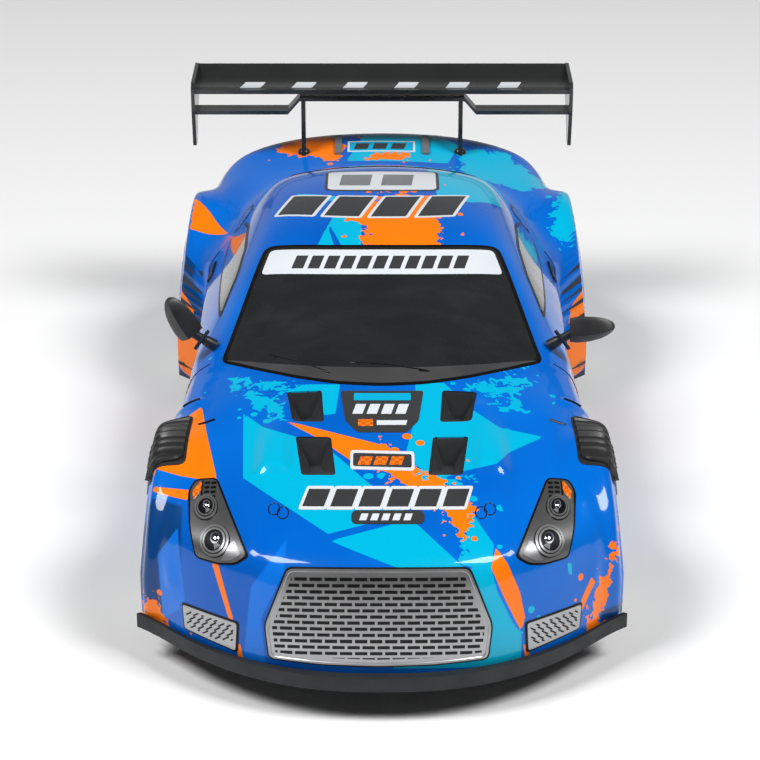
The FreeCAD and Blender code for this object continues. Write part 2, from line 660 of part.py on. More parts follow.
# ---------------------------------------------------------------- front end: kingpins, knuckles, steering
def build_front_end():
    brace_top = D.brace_bottom + D.brace_thickness
    beam = box("brace_beam", (-D.kingpin_x, D.kingpin_x), (D.front_axle_y - 4, D.front_axle_y + 4),
               (D.brace_bottom, brace_top))
    eyes, legs, holes, pins = [], [], [], []
    for side, sign in SIDES:
        at = (D.kingpin_x * sign, D.front_axle_y)
        eyes.append(rod(f"brace_eye_{side}", D.knuckle_radius, (*at, D.brace_bottom), D.brace_thickness))
        legs.append(box(f"brace_leg_{side}", sorted((14 * sign, 19 * sign)),
                        (D.front_axle_y - 4, D.front_axle_y + 4), (floor_top, D.brace_bottom)))
        holes.append(rod(f"brace_hole_{side}", D.kingpin_radius, (*at, 25), 15))
        pins.append(rod(f"kingpin_{side}", D.kingpin_radius, (*at, D.floor_bottom + 2), brace_top - floor_top))
    keep("steering_brace", cut("brace_cut", fuse("brace_whole", [beam] + eyes + legs), holes))
    keep("kingpins", group("kingpins_set", pins))

    for side, sign in SIDES:
        along = "X" if sign > 0 else "-X"
        at = (D.kingpin_x * sign, D.front_axle_y)
        low, high = floor_top + D.arm_thickness + 0.3, D.brace_bottom - 0.3
        barrel = rod(f"knuckle_barrel_{side}", D.knuckle_radius, (*at, low), high - low)
        boss_length = D.front_tyre_inner - D.kingpin_x - 0.6
        boss = rod(f"knuckle_boss_{side}", 4, (*at, D.axle_height), boss_length, along)
        arm_x = (at[0] - 2.5, at[0] + 2.5)
        pin_y = D.front_axle_y + D.steering_arm
        arm = box(f"knuckle_arm_{side}", arm_x, (D.front_axle_y, pin_y + 2), (18.2, D.bar_bottom - 0.6))
        pin = rod(f"knuckle_pin_{side}", D.steering_pin_radius, (at[0], pin_y, D.bar_bottom - 0.8),
                  D.bar_thickness + 0.5)
        bore = rod(f"knuckle_bore_{side}", D.kingpin_radius + D.running_gap, (*at, 5), 40)
        stub_start = (D.kingpin_x + 2.5) * sign
        stub_length = D.front_tyre_inner + D.front_tyre_width - D.kingpin_x - 1.2
        stub_at = stub_start, D.front_axle_y, D.axle_height
        seat = rod(f"stub_seat_{side}", D.axle_radius, stub_at, stub_length, along)
        stub = rod(f"stub_axle_{side}", D.axle_radius, stub_at, stub_length, along)
        whole = fuse(f"knuckle_whole_{side}", [barrel, boss, arm, pin])
        keep(f"steering_knuckle_{side}", cut(f"knuckle_cut_{side}", whole, [bore, seat]))
        keep(f"stub_axle_{side}", stub)
        nut_x = (D.front_tyre_inner + D.front_tyre_width - 1.2) * sign
        nut = rod(f"front_nut_{side}_blank", 3, (nut_x, D.front_axle_y, D.axle_height), 2, along)
        keep(f"front_wheel_nut_{side}",
             cut(f"front_nut_{side}_cut", nut, [rod(f"front_nut_{side}_bore", D.axle_radius,
                                                    (stub_start, D.front_axle_y, D.axle_height), 40, along)]))


def build_steering_link():
    pin_y = D.front_axle_y + D.steering_arm
    bar = box("bar_blank", (-D.bar_half_length, D.bar_half_length), (pin_y - 4.3, pin_y + 3.7),
              (D.bar_bottom, D.bar_bottom + D.bar_thickness))
    hole = D.steering_pin_radius + D.slot_gap
    swing = 0.9
    slots = []
    for name, x, low, high in (("left", D.kingpin_x, swing, 0), ("right", -D.kingpin_x, swing, 0),
                               ("middle", D.kingpin_x * 0, 0, swing)):
        start = pin_y - low
        end = pin_y + high
        slots.append(box(f"bar_slot_{name}", (x - hole, x + hole), (start, end), (20, 30)))
        slots.append(rod(f"bar_slot_{name}_front", hole, (x, start, 20), 10))
        slots.append(rod(f"bar_slot_{name}_rear", hole, (x, end, 20), 10))
    keep("steering_bar", cut("bar_cut", bar, slots))

    case = box("servo_case", (-8, 8), (-62.5, -40.5), (floor_top, D.servo_top))
    ears = box("servo_ears", (-12, 12), (-59, -44), (19, 21))
    keep("steering_servo", fuse("servo_whole", [case, ears]))
    screws = [rod(f"servo_screw_{i}", 1.3, (x, y, 21), 1.2)
              for i, (x, y) in enumerate(((-10, -56), (10, -56), (-10, -47), (10, -47)))]
    keep("servo_screws", group("servo_screws_set", screws))

    horn_low = D.servo_top + 0.4
    hub = rod("horn_hub", 4, (0, D.servo_y, horn_low), 3)
    arm = box("horn_arm", (-2.5, 2.5), (pin_y - 2.2, D.servo_y),
              (D.bar_bottom + D.bar_thickness + 0.6, horn_low + 3))
    pin = rod("horn_pin", D.steering_pin_radius, (0, pin_y, D.bar_bottom + 0.3), D.bar_thickness + 0.8)
    keep("servo_horn", fuse("horn_whole", [hub, arm, pin]))


# ---------------------------------------------------------------- wheels
def build_rim(name, width, bore, hub_inner):
    """A spoked rim turned about X: its face is at the +X end, x = 0 is the middle of the tyre."""
    half = width / 2 - 0.7
    inner = D.rim_radius - 1.5
    body = turned(name, [
        (-half, D.rim_radius), (half, D.rim_radius), (half, inner), (half - 1, inner - 0.2), (half - 3, inner),
        (half - 3, D.hub_radius), (half - 1.5, D.hub_radius - 1), (half - 1.5, bore), (hub_inner, bore),
        (hub_inner, D.hub_radius), (half - 5.5, D.hub_radius), (half - 5.5, inner), (-half, inner)])
    window = new_sketch(body, f"{name}_window", "YZ", half)
    draw_polygon(window, [(6.2, -0.7), (12.8, -2.4), (12.8, 2.4), (6.2, 0.7)])
    opening = body.newObject("PartDesign::Pocket", f"{name}_opening")
    opening.Profile = window
    opening.Length = 8
    polar(body, f"{name}_spokes", opening, window, D.spoke_count)
    return body


def build_tyre(name, width):
    half = width / 2
    return turned(name, [
        (-half + 0.8, D.rim_radius), (half - 0.8, D.rim_radius), (half, D.rim_radius + 2),
        (half, D.tyre_radius - 2), (half - 0.7, D.tyre_radius - 0.6), (half - 2.2, D.tyre_radius),
        (-half + 2.2, D.tyre_radius), (-half + 0.7, D.tyre_radius - 0.6), (-half, D.tyre_radius - 2),
        (-half, D.rim_radius + 2)])


def build_wheels():
    faces = {"left": FreeCAD.Rotation(), "right": FreeCAD.Rotation(Vec(0, 0, 1), 180)}
    ends = (("front", D.front_axle_y, D.front_tyre_inner, D.front_tyre_width, D.axle_radius + D.running_gap),
            ("rear", D.rear_axle_y, D.rear_tyre_inner, D.rear_tyre_width, D.axle_radius))
    for end, axle_y, inner, width, bore in ends:
        for side, sign in SIDES:
            at = ((inner + width / 2) * sign, axle_y, D.axle_height)
            rim = build_rim(f"{end}_rim_{side}", width, bore, -width / 2 + 0.3)
            tyre = build_tyre(f"{end}_tyre_{side}", width)
            keep(f"{end}_rim_{side}", place(rim, *at, turn=faces[side]))
            keep(f"{end}_tyre_{side}", place(tyre, *at, turn=faces[side]))


# ---------------------------------------------------------------- rear drive
def involute_tooth(teeth):
    """Corners of one tooth, centred on the +u axis, from inside the root circle to the tip."""
    module, backlash, pressure = D.gear_module.value, 0.2, math.radians(20)
    pitch = module * teeth / 2
    base = pitch * math.cos(pressure)
    tip, root = pitch + 0.9 * module, pitch - 1.2 * module

    def roll(angle):
        return math.tan(angle) - angle

    def half_angle(radius):
        lead = roll(math.acos(base / radius)) if radius > base else 0
        return math.pi / (2 * teeth) - backlash / (2 * pitch) + roll(pressure) - lead

    start = max(base, root)
    steps = [root - 0.3, start] + [start + (tip - start) * k / 3 for k in (1, 2, 3)]
    upper = [(r * math.cos(half_angle(r)), r * math.sin(half_angle(r))) for r in steps]
    return [(u, -v) for u, v in upper] + upper[::-1]


SPIN = FreeCAD.Rotation(Vec(1, 1, 1), 120)


def gear(name, teeth, bore, x, y, turn):
    """A spur gear along X from x, turned so that its first tooth points turn degrees from +Y."""
    body = new_body(name)
    disc = new_sketch(body, f"{name}_disc", "XY")
    root = D.gear_module * (teeth / 2 - 1.2)
    draw_circle(disc, root)
    draw_circle(disc, bore)
    pad(body, f"{name}_web", disc, D.gear_width)
    outline = new_sketch(body, f"{name}_tooth", "XY")
    draw_polygon(outline, involute_tooth(int(teeth.value)))
    tooth = pad(body, f"{name}_tooth_pad", outline, D.gear_width)
    polar(body, f"{name}_teeth", tooth, outline, teeth)
    return place(body, x, y, D.axle_height, turn=SPIN * FreeCAD.Rotation(Vec(0, 0, 1), turn))


def build_drive():
    middle_y = D.rear_axle_y - D.gear_module * (D.axle_teeth + D.small_teeth) / 2
    motor_y = middle_y - D.gear_module * (D.large_teeth + D.pinion_teeth) / 2
    first_x, second_x = D.gearbox_left_x + 2.5, D.gearbox_left_x + 7.5
    axle_end = D.rear_tyre_inner + D.rear_tyre_width - 0.2
    axle_at = (-axle_end, D.rear_axle_y, D.axle_height)

    keep("rear_axle", rod("rear_axle_bar", D.axle_radius, axle_at, axle_end * 2, "X"))
    keep("axle_gear", gear("axle_gear", D.axle_teeth, D.axle_radius, first_x, D.rear_axle_y, 180))
    hexes, nuts = [], []
    for side, sign in SIDES:
        along = "X" if sign > 0 else "-X"
        prism = doc.addObject("Part::Prism", f"hex_{side}")
        prism.Polygon = 6
        prism.Circumradius = 5
        prism.Height = 3
        place(prism, (D.rear_tyre_inner - 3.2) * sign, D.rear_axle_y, D.axle_height, turn=ALONG[along])
        bore = rod(f"hex_{side}_bore", D.axle_radius, axle_at, axle_end * 2, "X")
        hexes.append(cut(f"hex_{side}_cut", prism, [bore]))
        nut_at = ((axle_end - 2) * sign, D.rear_axle_y, D.axle_height)
        nut = rod(f"rear_nut_{side}", 3, nut_at, 2, along)
        nuts.append(cut(f"rear_nut_{side}_cut", nut,
                        [rod(f"rear_nut_{side}_bore", D.axle_radius, axle_at, axle_end * 2, "X")]))
    keep("rear_hex_drives", group("rear_hex_set", hexes))
    keep("rear_wheel_nuts", group("rear_nut_set", nuts))

    small_turn, pinion_turn = 180 / D.small_teeth.value, 180 / D.pinion_teeth.value
    small = gear("cluster_small_gear", D.small_teeth, D.shaft_radius, first_x, middle_y, small_turn)
    large = gear("cluster_large_gear", D.large_teeth, D.shaft_radius, second_x, middle_y, 180)
    collar = rod("cluster_collar_bar", 2.6, (first_x + D.gear_width, middle_y, D.axle_height),
                 second_x - first_x - D.gear_width, "X")
    collar_bore = rod("cluster_collar_bore", D.shaft_radius, (first_x, middle_y, D.axle_height), 20, "X")
    keep("cluster_gear", fuse("cluster_whole", [small, large, cut("cluster_collar", collar, [collar_bore])]))
    shaft_start = D.gearbox_left_x + 0.3
    keep("cluster_shaft", rod("cluster_shaft_bar", D.shaft_radius, (shaft_start, middle_y, D.axle_height),
                              D.gearbox_right_x - D.gearbox_left_x - 0.6, "X"))
    keep("motor_pinion", gear("motor_pinion", D.pinion_teeth, D.shaft_radius, second_x, motor_y, pinion_turn))
    rear_end = D.gearbox_left_x - D.motor_length
    keep("motor_shaft", rod("motor_shaft_bar", D.shaft_radius, (rear_end + 0.5, motor_y, D.axle_height),
                            D.motor_length + 11.2, "X"))

    can = turned("motor_can_body", [
        (-D.motor_length, D.shaft_radius + 0.1), (-D.motor_length, 3.2), (-D.motor_length + 1.6, 3.2),
        (-D.motor_length + 1.6, D.motor_radius - 1), (-D.motor_length + 2.6, D.motor_radius),
        (-0.8, D.motor_radius), (0, D.motor_radius - 0.8), (0, D.bush_radius), (D.gearbox_wall, D.bush_radius),
        (D.gearbox_wall, D.shaft_radius + 0.1)])
    keep("motor", place(can, D.gearbox_left_x, motor_y, D.axle_height))

    build_gearbox(middle_y, motor_y)


def build_gearbox(middle_y, motor_y):
    wall = D.gearbox_wall
    inside_y = (D.gearbox_front + wall, D.gearbox_rear - wall)
    halves = (("left", D.gearbox_left_x, D.gearbox_split_x, D.gearbox_left_x + wall, D.gearbox_split_x),
              ("right", D.gearbox_split_x, D.gearbox_right_x, D.gearbox_split_x, D.gearbox_right_x - wall))
    screw_places = ((D.gearbox_front - 1.6, 30), (D.gearbox_rear + 1.6, 30), (D.gearbox_front - 1.6, 13.5),
                    (D.gearbox_rear + 1.6, 13.5))
    length = D.gearbox_right_x - D.gearbox_left_x
    screws = []
    for i, (y, z) in enumerate(screw_places):
        shank = rod(f"gearbox_screw_{i}_shank", 0.9, (D.gearbox_left_x + 1, y, z), length - 1, "X")
        head = rod(f"gearbox_screw_{i}_head", 1.9, (D.gearbox_right_x, y, z), 1.2, "X")
        screws.append(fuse(f"gearbox_screw_{i}", [shank, head]))
    for side, low, high, inner_low, inner_high in halves:
        block = box(f"gearbox_{side}_block", (low, high), (D.gearbox_front, D.gearbox_rear),
                    (floor_top, D.gearbox_top))
        lugs = [rod(f"gearbox_{side}_lug_{i}", 2.2, (low, y, z), high - low, "X")
                for i, (y, z) in enumerate(screw_places)]
        room = box(f"gearbox_{side}_room", (inner_low, inner_high), inside_y, (5, D.gearbox_top - wall))
        holes = [room]
        at_x = D.gearbox_left_x - 5
        shaft_hole = D.shaft_radius + 0.08
        holes.append(rod(f"gearbox_{side}_cluster_hole", shaft_hole, (at_x, middle_y, D.axle_height), 30, "X"))
        axle_hole_at = at_x, D.rear_axle_y, D.axle_height
        holes.append(rod(f"gearbox_{side}_axle_hole", D.bush_radius, axle_hole_at, 30, "X"))
        if side == "left":
            holes.append(rod("gearbox_motor_hole", D.bush_radius, (at_x, motor_y, D.axle_height), 10, "X"))
        for i, (y, z) in enumerate(screw_places):
            holes.append(rod(f"gearbox_{side}_screw_hole_{i}", 0.9, (D.gearbox_left_x + 1, y, z), length, "X"))
        keep(f"gearbox_{side}", cut(f"gearbox_{side}_cut", fuse(f"gearbox_{side}_whole", [block] + lugs), holes))
    keep("gearbox_screws", group("gearbox_screw_set", screws))

    carrier_x = (-27.5, -22.5)
    block = box("carrier_block", carrier_x, (D.rear_axle_y - 6, D.rear_axle_y + 6),
                (floor_top, D.axle_height + 6))
    hole = rod("carrier_hole", D.bush_radius, (-30, D.rear_axle_y, D.axle_height), 10, "X")
    keep("axle_carrier", cut("carrier_cut", block, [hole]))
    bushes = []
    for i, (x, width) in enumerate(((D.gearbox_left_x, wall), (D.gearbox_right_x - wall, wall), (-27.5, 5))):
        ring = rod(f"bush_{i}_blank", D.bush_radius, (x, D.rear_axle_y, D.axle_height), width, "X")
        bore = rod(f"bush_{i}_bore", D.axle_radius + 0.06, (x - 5, D.rear_axle_y, D.axle_height), 20, "X")
        bushes.append(cut(f"bush_{i}", ring, [bore]))
    keep("axle_bushes", group("bush_set", bushes))


build_body_shell()
build_louvres()
build_wing()
build_mirrors()
build_body_mounts()
build_tub()
build_battery_bay()
build_bumpers()
build_front_end()
build_steering_link()
build_wheels()
build_drive()
doc.recompute()

# ---------------------------------------------------------------- checks and files
failed = [obj.Name for obj in doc.Objects if {"Invalid", "Error"} & set(obj.State)]
for name, obj in nodes.items():
    if obj.Shape.isNull() or not obj.Shape.isValid() or not obj.Shape.Solids:
        failed.append(name)
if failed:
    raise SystemExit(f"these objects failed: {failed}")
for name, obj in nodes.items():
    obj.Shape.exportStep(f"parts/{name}.step")
    bounds = obj.Shape.BoundBox
    spans = (f"{low:.1f}..{high:.1f}" for low, high in
             ((bounds.XMin, bounds.XMax), (bounds.YMin, bounds.YMax), (bounds.ZMin, bounds.ZMax)))
    print(f"{name:24s} {len(obj.Shape.Solids)} solid(s) {obj.Shape.Volume:9.0f} mm3 ", *spans)
print(len(nodes), "nodes")
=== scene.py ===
"""Remote control touring car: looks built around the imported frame. Design values are in millimetres."""

import json
import math

import bmesh
import bpy
import numpy as np
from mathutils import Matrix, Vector
from mathutils.bvhtree import BVHTree


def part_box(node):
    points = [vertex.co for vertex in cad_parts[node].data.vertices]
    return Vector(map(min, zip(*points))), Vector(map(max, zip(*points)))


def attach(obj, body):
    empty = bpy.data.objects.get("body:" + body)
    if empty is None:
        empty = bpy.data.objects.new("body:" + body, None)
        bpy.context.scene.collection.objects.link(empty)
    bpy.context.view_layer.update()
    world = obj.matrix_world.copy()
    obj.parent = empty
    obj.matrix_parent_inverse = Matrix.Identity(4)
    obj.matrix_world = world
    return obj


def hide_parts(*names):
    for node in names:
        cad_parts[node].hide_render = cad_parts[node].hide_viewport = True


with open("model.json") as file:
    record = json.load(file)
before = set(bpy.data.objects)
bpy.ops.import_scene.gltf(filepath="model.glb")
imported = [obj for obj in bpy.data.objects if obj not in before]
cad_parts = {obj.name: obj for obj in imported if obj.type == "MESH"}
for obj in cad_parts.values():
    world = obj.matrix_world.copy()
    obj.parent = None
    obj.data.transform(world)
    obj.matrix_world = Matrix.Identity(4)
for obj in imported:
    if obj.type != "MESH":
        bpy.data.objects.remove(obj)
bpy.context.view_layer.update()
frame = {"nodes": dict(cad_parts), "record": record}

MM = 0.001
SIDES = (("left", 1), ("right", -1))

# ---------------------------------------------------------------- the body's form
# Each table gives a height or half width along the car, as (y, value).
DECK = ((-140, 39), (-132, 42.5), (-120, 45.5), (-100, 49.5), (-78, 53.2), (-56, 56.6), (-35, 58), (20, 58.5),
        (60, 60), (95, 62.2), (118, 63.8), (128, 65.6), (137, 67.4))
CROWN = ((-140, 9), (-120, 6.5), (-80, 5), (-45, 6.5), (0, 9), (45, 8), (85, 4.5), (120, 3.8), (137, 4.2))
WIDTH = ((-140, 60.2), (-108, 61), (-80, 61.8), (-55, 60.3), (-32, 58.2), (-21, 57.6), (-13, 53.6), (5, 53),
         (30, 53.6), (46, 55), (58, 60.5), (72, 63.6), (87, 62.4), (104, 60.6), (120, 59), (137, 54))
ROOF = ((-66, 50.5), (-54, 56.8), (-31, 67.2), (-12, 75.4), (0, 78.6), (18, 80.8), (38, 81.2), (56, 79.8),
        (74, 74.7), (96, 65), (112, 55))
CABIN = ((-60, 42), (-45, 46), (-30, 49), (0, 50.5), (30, 50.5), (52, 49), (75, 45.5), (95, 40), (115, 33))
SCREEN_BOW = ((-60, 1.25), (-5, 0.75), (25, 0))
REAR_BOW = ((40, 0), (90, 1))
# Each flare: its place along the car, radius, half width, softness of its edges, and where it starts.
FLARES = ((-80, 29.6, 62.6, 2.4, 47), (87, 36.8, 65.4, 2, 51))
AXLE_Z = 21
BASE_Z = 10
SKIN = 1.0
ARCHES = ((-80, 23.5), (87, 24.5))
ARCH_LIP = 2.6
MIRROR_BASE = (50.2, -28, 57.6)
MIRROR_JOINT = (54.8, -29, 60.9)
MIRROR_TILT = {"left": 2, "right": 57}
MIRROR_OUT = 4.8
MIRROR_REACH = 6.4


def knot(place, table):
    """A smooth curve through the knots of a table, flat past its ends."""
    at, value = np.array(table, float).T
    slope = np.gradient(value, at)
    slope[1:-1] = (value[2:] - value[:-2]) / (at[2:] - at[:-2])
    place = np.clip(place, at[0], at[-1])
    i = np.clip(np.searchsorted(at, place) - 1, 0, len(at) - 2)
    span = at[i + 1] - at[i]
    t = (place - at[i]) / span
    start = (2 * t**3 - 3 * t**2 + 1) * value[i] + (t**3 - 2 * t**2 + t) * span * slope[i]
    return start + (3 * t**2 - 2 * t**3) * value[i + 1] + (t**3 - t**2) * span * slope[i + 1]


def soft_max(a, b, softness):
    return 0.5 * (a + b + np.sqrt((a - b) ** 2 + softness**2))


def soft_min(a, b, softness):
    return 0.5 * (a + b - np.sqrt((a - b) ** 2 + softness**2))


def over(amount, limit):
    return np.maximum(amount - limit, 0)


def smooth_step(value, low, high):
    t = np.clip((value - low) / (high - low), 0, 1)
    return t * t * (3 - 2 * t)


def near_segment(x, y, z, start, end):
    """Distance from points to a straight segment."""
    start, end = np.array(start, float), np.array(end, float)
    way = end - start
    offset = np.stack([x - start[0], y - start[1], z - start[2]], -1)
    t = np.clip(offset @ way / (way @ way), 0, 1)
    return np.linalg.norm(offset - t[..., None] * way, axis=-1)


def plain_form(x, y, z):
    """About the distance from the smooth body: negative inside the car. It is the frame's own form."""
    x = abs(x)
    deck = z - (knot(y, DECK) - knot(y, CROWN) * (x / 60) ** 2)
    flank = x - (knot(y, WIDTH) - 0.11 * over(z, 24))
    nose = (-137 + 31 * (x / 62) ** 2.4 + 0.16 * over(z, 22)) - y
    tail = y - (137 - 17 * (x / 62) ** 3 - 0.10 * over(26, z))
    lower = soft_max(soft_max(soft_max(deck, flank, 7), nose, 5), tail, 4)
    bow = 12 * (x / 44) ** 2
    roof_y = y - bow * knot(y, SCREEN_BOW) + 0.6 * bow * knot(y, REAR_BOW)
    roof = z - (knot(roof_y, ROOF) - 2.6 * (x / 36) ** 2)
    glass = x - (knot(y, CABIN) - 0.62 * (over(z, 50) - 5))
    cabin = soft_max(roof, glass * 0.85, 6)
    cabin = soft_max(cabin, soft_max(-y - 62, y - 110, 2), 3)
    result = soft_min(lower, cabin, 3)
    for flare_y, radius, half, soft, inner in FLARES:
        around = np.hypot(y - flare_y, z - 22.5) - radius
        flare = soft_max(around, x - (half - 0.10 * over(z, 24)), soft)
        result = soft_min(result, soft_max(flare, inner - x, 4), 3)
    sill = soft_max(soft_max(z - 13.5, x - 57.5, 2), soft_max(y - 52, -y - 52, 4), 2)
    return soft_min(result, sill, 2)


SCOOP_X = 28.6


def moulding(x, y, z):
    """How far the moulded details stand out from the smooth body, in mm."""
    x = abs(x)
    along = smooth_step(y, -97.5, -94) * (1 - smooth_step(y, -92, -64))
    scoop = 1.9 * along * np.exp(-(((x - SCOOP_X) / 4.4) ** 4)) * (z > 40)
    crease = 0.9 * np.exp(-((near_segment(x, y, z, (52, -102, 44), (54.5, -113, 27)) / 2.4) ** 2))
    gill = 0.8 * np.exp(-((near_segment(x, y, z, (50, -57, 51), (56, -55, 46)) / 1.7) ** 2))
    hood = 0.5 * np.exp(-((near_segment(x, y, z, (26, -66, 54), (33, -127, 41)) / 3.0) ** 2))
    lip = 0
    for arch_y, radius in ARCHES:
        away = np.hypot(y - arch_y, z - AXLE_Z) - radius
        fall = 1 - smooth_step(away, ARCH_LIP - 0.8, ARCH_LIP)
        lip = lip + 0.45 * smooth_step(away, -3, 0) * fall * (x > 50)
    sill_line = 0.5 * np.exp(-((near_segment(x, y, z, (53, -44, 20), (53.5, 44, 24)) / 2.0) ** 2))
    return scoop + crease + gill + hood + lip * (x < 65.2) + sill_line


def form(x, y, z):
    return plain_form(x, y, z) - moulding(x, y, z)


def slopes(points):
    """The outward unit normals of the form at points on it."""
    step = 0.05
    x, y, z = points.T
    normal = np.stack([
        form(x + step, y, z) - form(x - step, y, z),
        form(x, y + step, z) - form(x, y - step, z),
        form(x, y, z + step) - form(x, y, z - step)], -1)
    return normal / np.linalg.norm(normal, axis=-1, keepdims=True)


# ---------------------------------------------------------------- sketch planes on the body
# A sketch plane has an origin, two axes and the way it looks at the body. "slope" leans back as the
# bonnet does. The search for the body starts FAR from the plane, outside the whole car.
LEAN = math.radians(24)
PLANES = {
    "slope": ((0, -5, 35), (1, 0, 0), (0, math.sin(LEAN), math.cos(LEAN)),
              (0, math.cos(LEAN), -math.sin(LEAN))),
    "top": ((0, 0, 0), (1, 0, 0), (0, 1, 0), (0, 0, -1)),
    "left": ((0, 0, 0), (0, 1, 0), (0, 0, 1), (-1, 0, 0)),
    "right": ((0, 0, 0), (0, 1, 0), (0, 0, 1), (1, 0, 0)),
    "tail": ((0, 0, 0), (1, 0, 0), (0, 0, 1), (0, -1, 0)),
}
FAR = 170
PROBE_STEP = 2.0
LAND_HALVINGS, SKIN_HALVINGS = 22, 26


def land(plane, uv):
    """Where points of a sketch plane meet the body, and the body's normals there."""
    origin, across, up, way = (np.array(part, float) for part in PLANES[plane])
    start = origin + uv[:, :1] * across + uv[:, 1:] * up - way * FAR
    travel = np.arange(0, FAR, PROBE_STEP)
    probes = start[:, None] + travel[None, :, None] * way
    hit = np.argmax(form(*np.moveaxis(probes, -1, 0)) < 0, axis=1)
    low, high = travel[np.maximum(hit - 1, 0)], travel[hit]
    for _ in range(LAND_HALVINGS):
        middle = (low + high) / 2
        inside = form(*(start + middle[:, None] * way).T) < 0
        low, high = np.where(inside, low, middle), np.where(inside, middle, high)
    points = start + high[:, None] * way
    return points, slopes(points)


ROUND_PARTS = 4


def rounded(corners, radius):
    """A polygon with its corners rounded."""
    result = []
    count = len(corners)
    for i, corner in enumerate(corners):
        corner = np.array(corner, float)
        before = np.array(corners[i - 1], float) - corner
        after = np.array(corners[(i + 1) % count], float) - corner
        reach = min(radius, 0.45 * np.linalg.norm(before), 0.45 * np.linalg.norm(after))
        start = corner + before / np.linalg.norm(before) * reach
        end = corner + after / np.linalg.norm(after) * reach
        for k in range(ROUND_PARTS + 1):
            t = k / ROUND_PARTS
            result.append((1 - t) ** 2 * start + 2 * t * (1 - t) * corner + t * t * end)
    return np.array(result)


def grown(outline, amount):
    """A convex outline moved out by an amount."""
    outline = np.array(outline, float)
    turn = 1 if signed_area(outline) > 0 else -1
    result = []
    for i, point in enumerate(outline):
        first = point - outline[i - 1]
        second = outline[(i + 1) % len(outline)] - point
        normals = [turn * np.array([edge[1], -edge[0]]) / max(np.linalg.norm(edge), 1e-9)
                   for edge in (first, second)]
        out = normals[0] + normals[1]
        out = out / max(np.linalg.norm(out), 1e-9)
        result.append(point + out * amount / max(out @ normals[0], 0.3))
    return np.array(result)


def signed_area(outline):
    x, y = np.array(outline, float).T
    return 0.5 * np.sum(x * np.roll(y, -1) - np.roll(x, -1) * y)


def mirrored(outline):
    return [(-u, v) for u, v in outline]


def clip_grid(outline, step):
    """A square grid cut to a convex outline: its points and its faces."""
    outline = np.array(outline, float)
    if signed_area(outline) < 0:
        outline = outline[::-1]
    low, high = outline.min(0), outline.max(0)
    columns, rows = (max(1, math.ceil(span / step)) for span in high - low)
    mesh = bmesh.new()
    bmesh.ops.create_grid(mesh, x_segments=columns, y_segments=rows, size=0.5)
    for vertex in mesh.verts:
        vertex.co = Vector((*(low + (high - low) * (np.array(vertex.co[:2]) + 0.5)), 0))
    for start, end in zip(outline, np.roll(outline, -1, 0)):
        edge = end - start
        if np.linalg.norm(edge) < 1e-6:
            continue
        everything = mesh.verts[:] + mesh.edges[:] + mesh.faces[:]
        bmesh.ops.bisect_plane(mesh, geom=everything, plane_co=(*start, 0), plane_no=(edge[1], -edge[0], 0),
                               clear_outer=True)
    bmesh.ops.remove_doubles(mesh, verts=mesh.verts[:], dist=0.02 * step)
    mesh.verts.index_update()
    points = np.array([vertex.co[:2] for vertex in mesh.verts])
    faces = [[vertex.index for vertex in face.verts] for face in mesh.faces]
    mesh.free()
    return points, faces


# ---------------------------------------------------------------- pieces
def piece(name, points, faces, material, slot, body="shell", sharp=32, replaces=()):
    """A named mesh piece, given in millimetres, that rides on a body."""
    mesh = bpy.data.meshes.new(name)
    mesh.from_pydata([tuple(point) for point in np.asarray(points) * MM], [], [list(face) for face in faces])
    mesh.polygons.foreach_set("use_smooth", [True] * len(mesh.polygons))
    mesh.set_sharp_from_angle(angle=math.radians(sharp))
    mesh.materials.append(material)
    obj = bpy.data.objects.new(name, mesh)
    bpy.context.scene.collection.objects.link(obj)
    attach(obj, body)
    if replaces:
        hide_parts(*replaces)
    return obj


def thick_sheet(top, under, faces):
    """The points and faces of a closed sheet between two matching sets of points."""
    count = len(top)
    edges = {(a, b) for face in faces for a, b in zip(face, face[1:] + face[:1])}
    walls = [(a, a + count, b + count, b) for a, b in edges if (b, a) not in edges]
    turned_under = [[count + i for i in reversed(face)] for face in faces]
    return np.concatenate([top, under]), faces + turned_under + walls


def plate_mesh(plane, outline, lift, depth, step, relief=None, bend=0.0):
    """A thin plate on the body. Bend curves the outline forward along the car, by bend times x squared."""
    uv, faces = clip_grid(outline, step)
    uv[:, 1] += bend * uv[:, 0] ** 2
    seat, normal = land(plane, uv)
    raised = np.full(len(uv), float(lift)) + (relief(uv) if relief else 0)
    _, across, up, way = (np.array(part, float) for part in PLANES[plane])
    if np.cross(across, up) @ way > 0:
        faces = [face[::-1] for face in faces]
    return thick_sheet(seat + normal * raised[:, None], seat - normal * depth, faces)


def joined(parts):
    """Several meshes as one set of points and faces."""
    all_points, all_faces, count = [], [], 0
    for points, faces in parts:
        all_faces += [[count + i for i in face] for face in faces]
        all_points.append(points)
        count += len(points)
    return np.concatenate(all_points), all_faces


def plates(name, plane, outlines, material, slot, lift=0.2, depth=0.3, step=1.3, bend=0.0, relief=None):
    """Thin plates on the body, cut to convex outlines drawn on a sketch plane, as one piece."""
    parts = [plate_mesh(plane, outline, lift, depth, step, relief, bend) for outline in outlines]
    piece(name, *joined(parts), material, slot)


def prints(plane, slot, rows, **style):
    """Several pieces of plates, each with its name, outlines, material and lift; their slot is not used."""
    for name, outlines, material, lift in rows:
        plates(name, plane, outlines, material, slot, lift, **style)


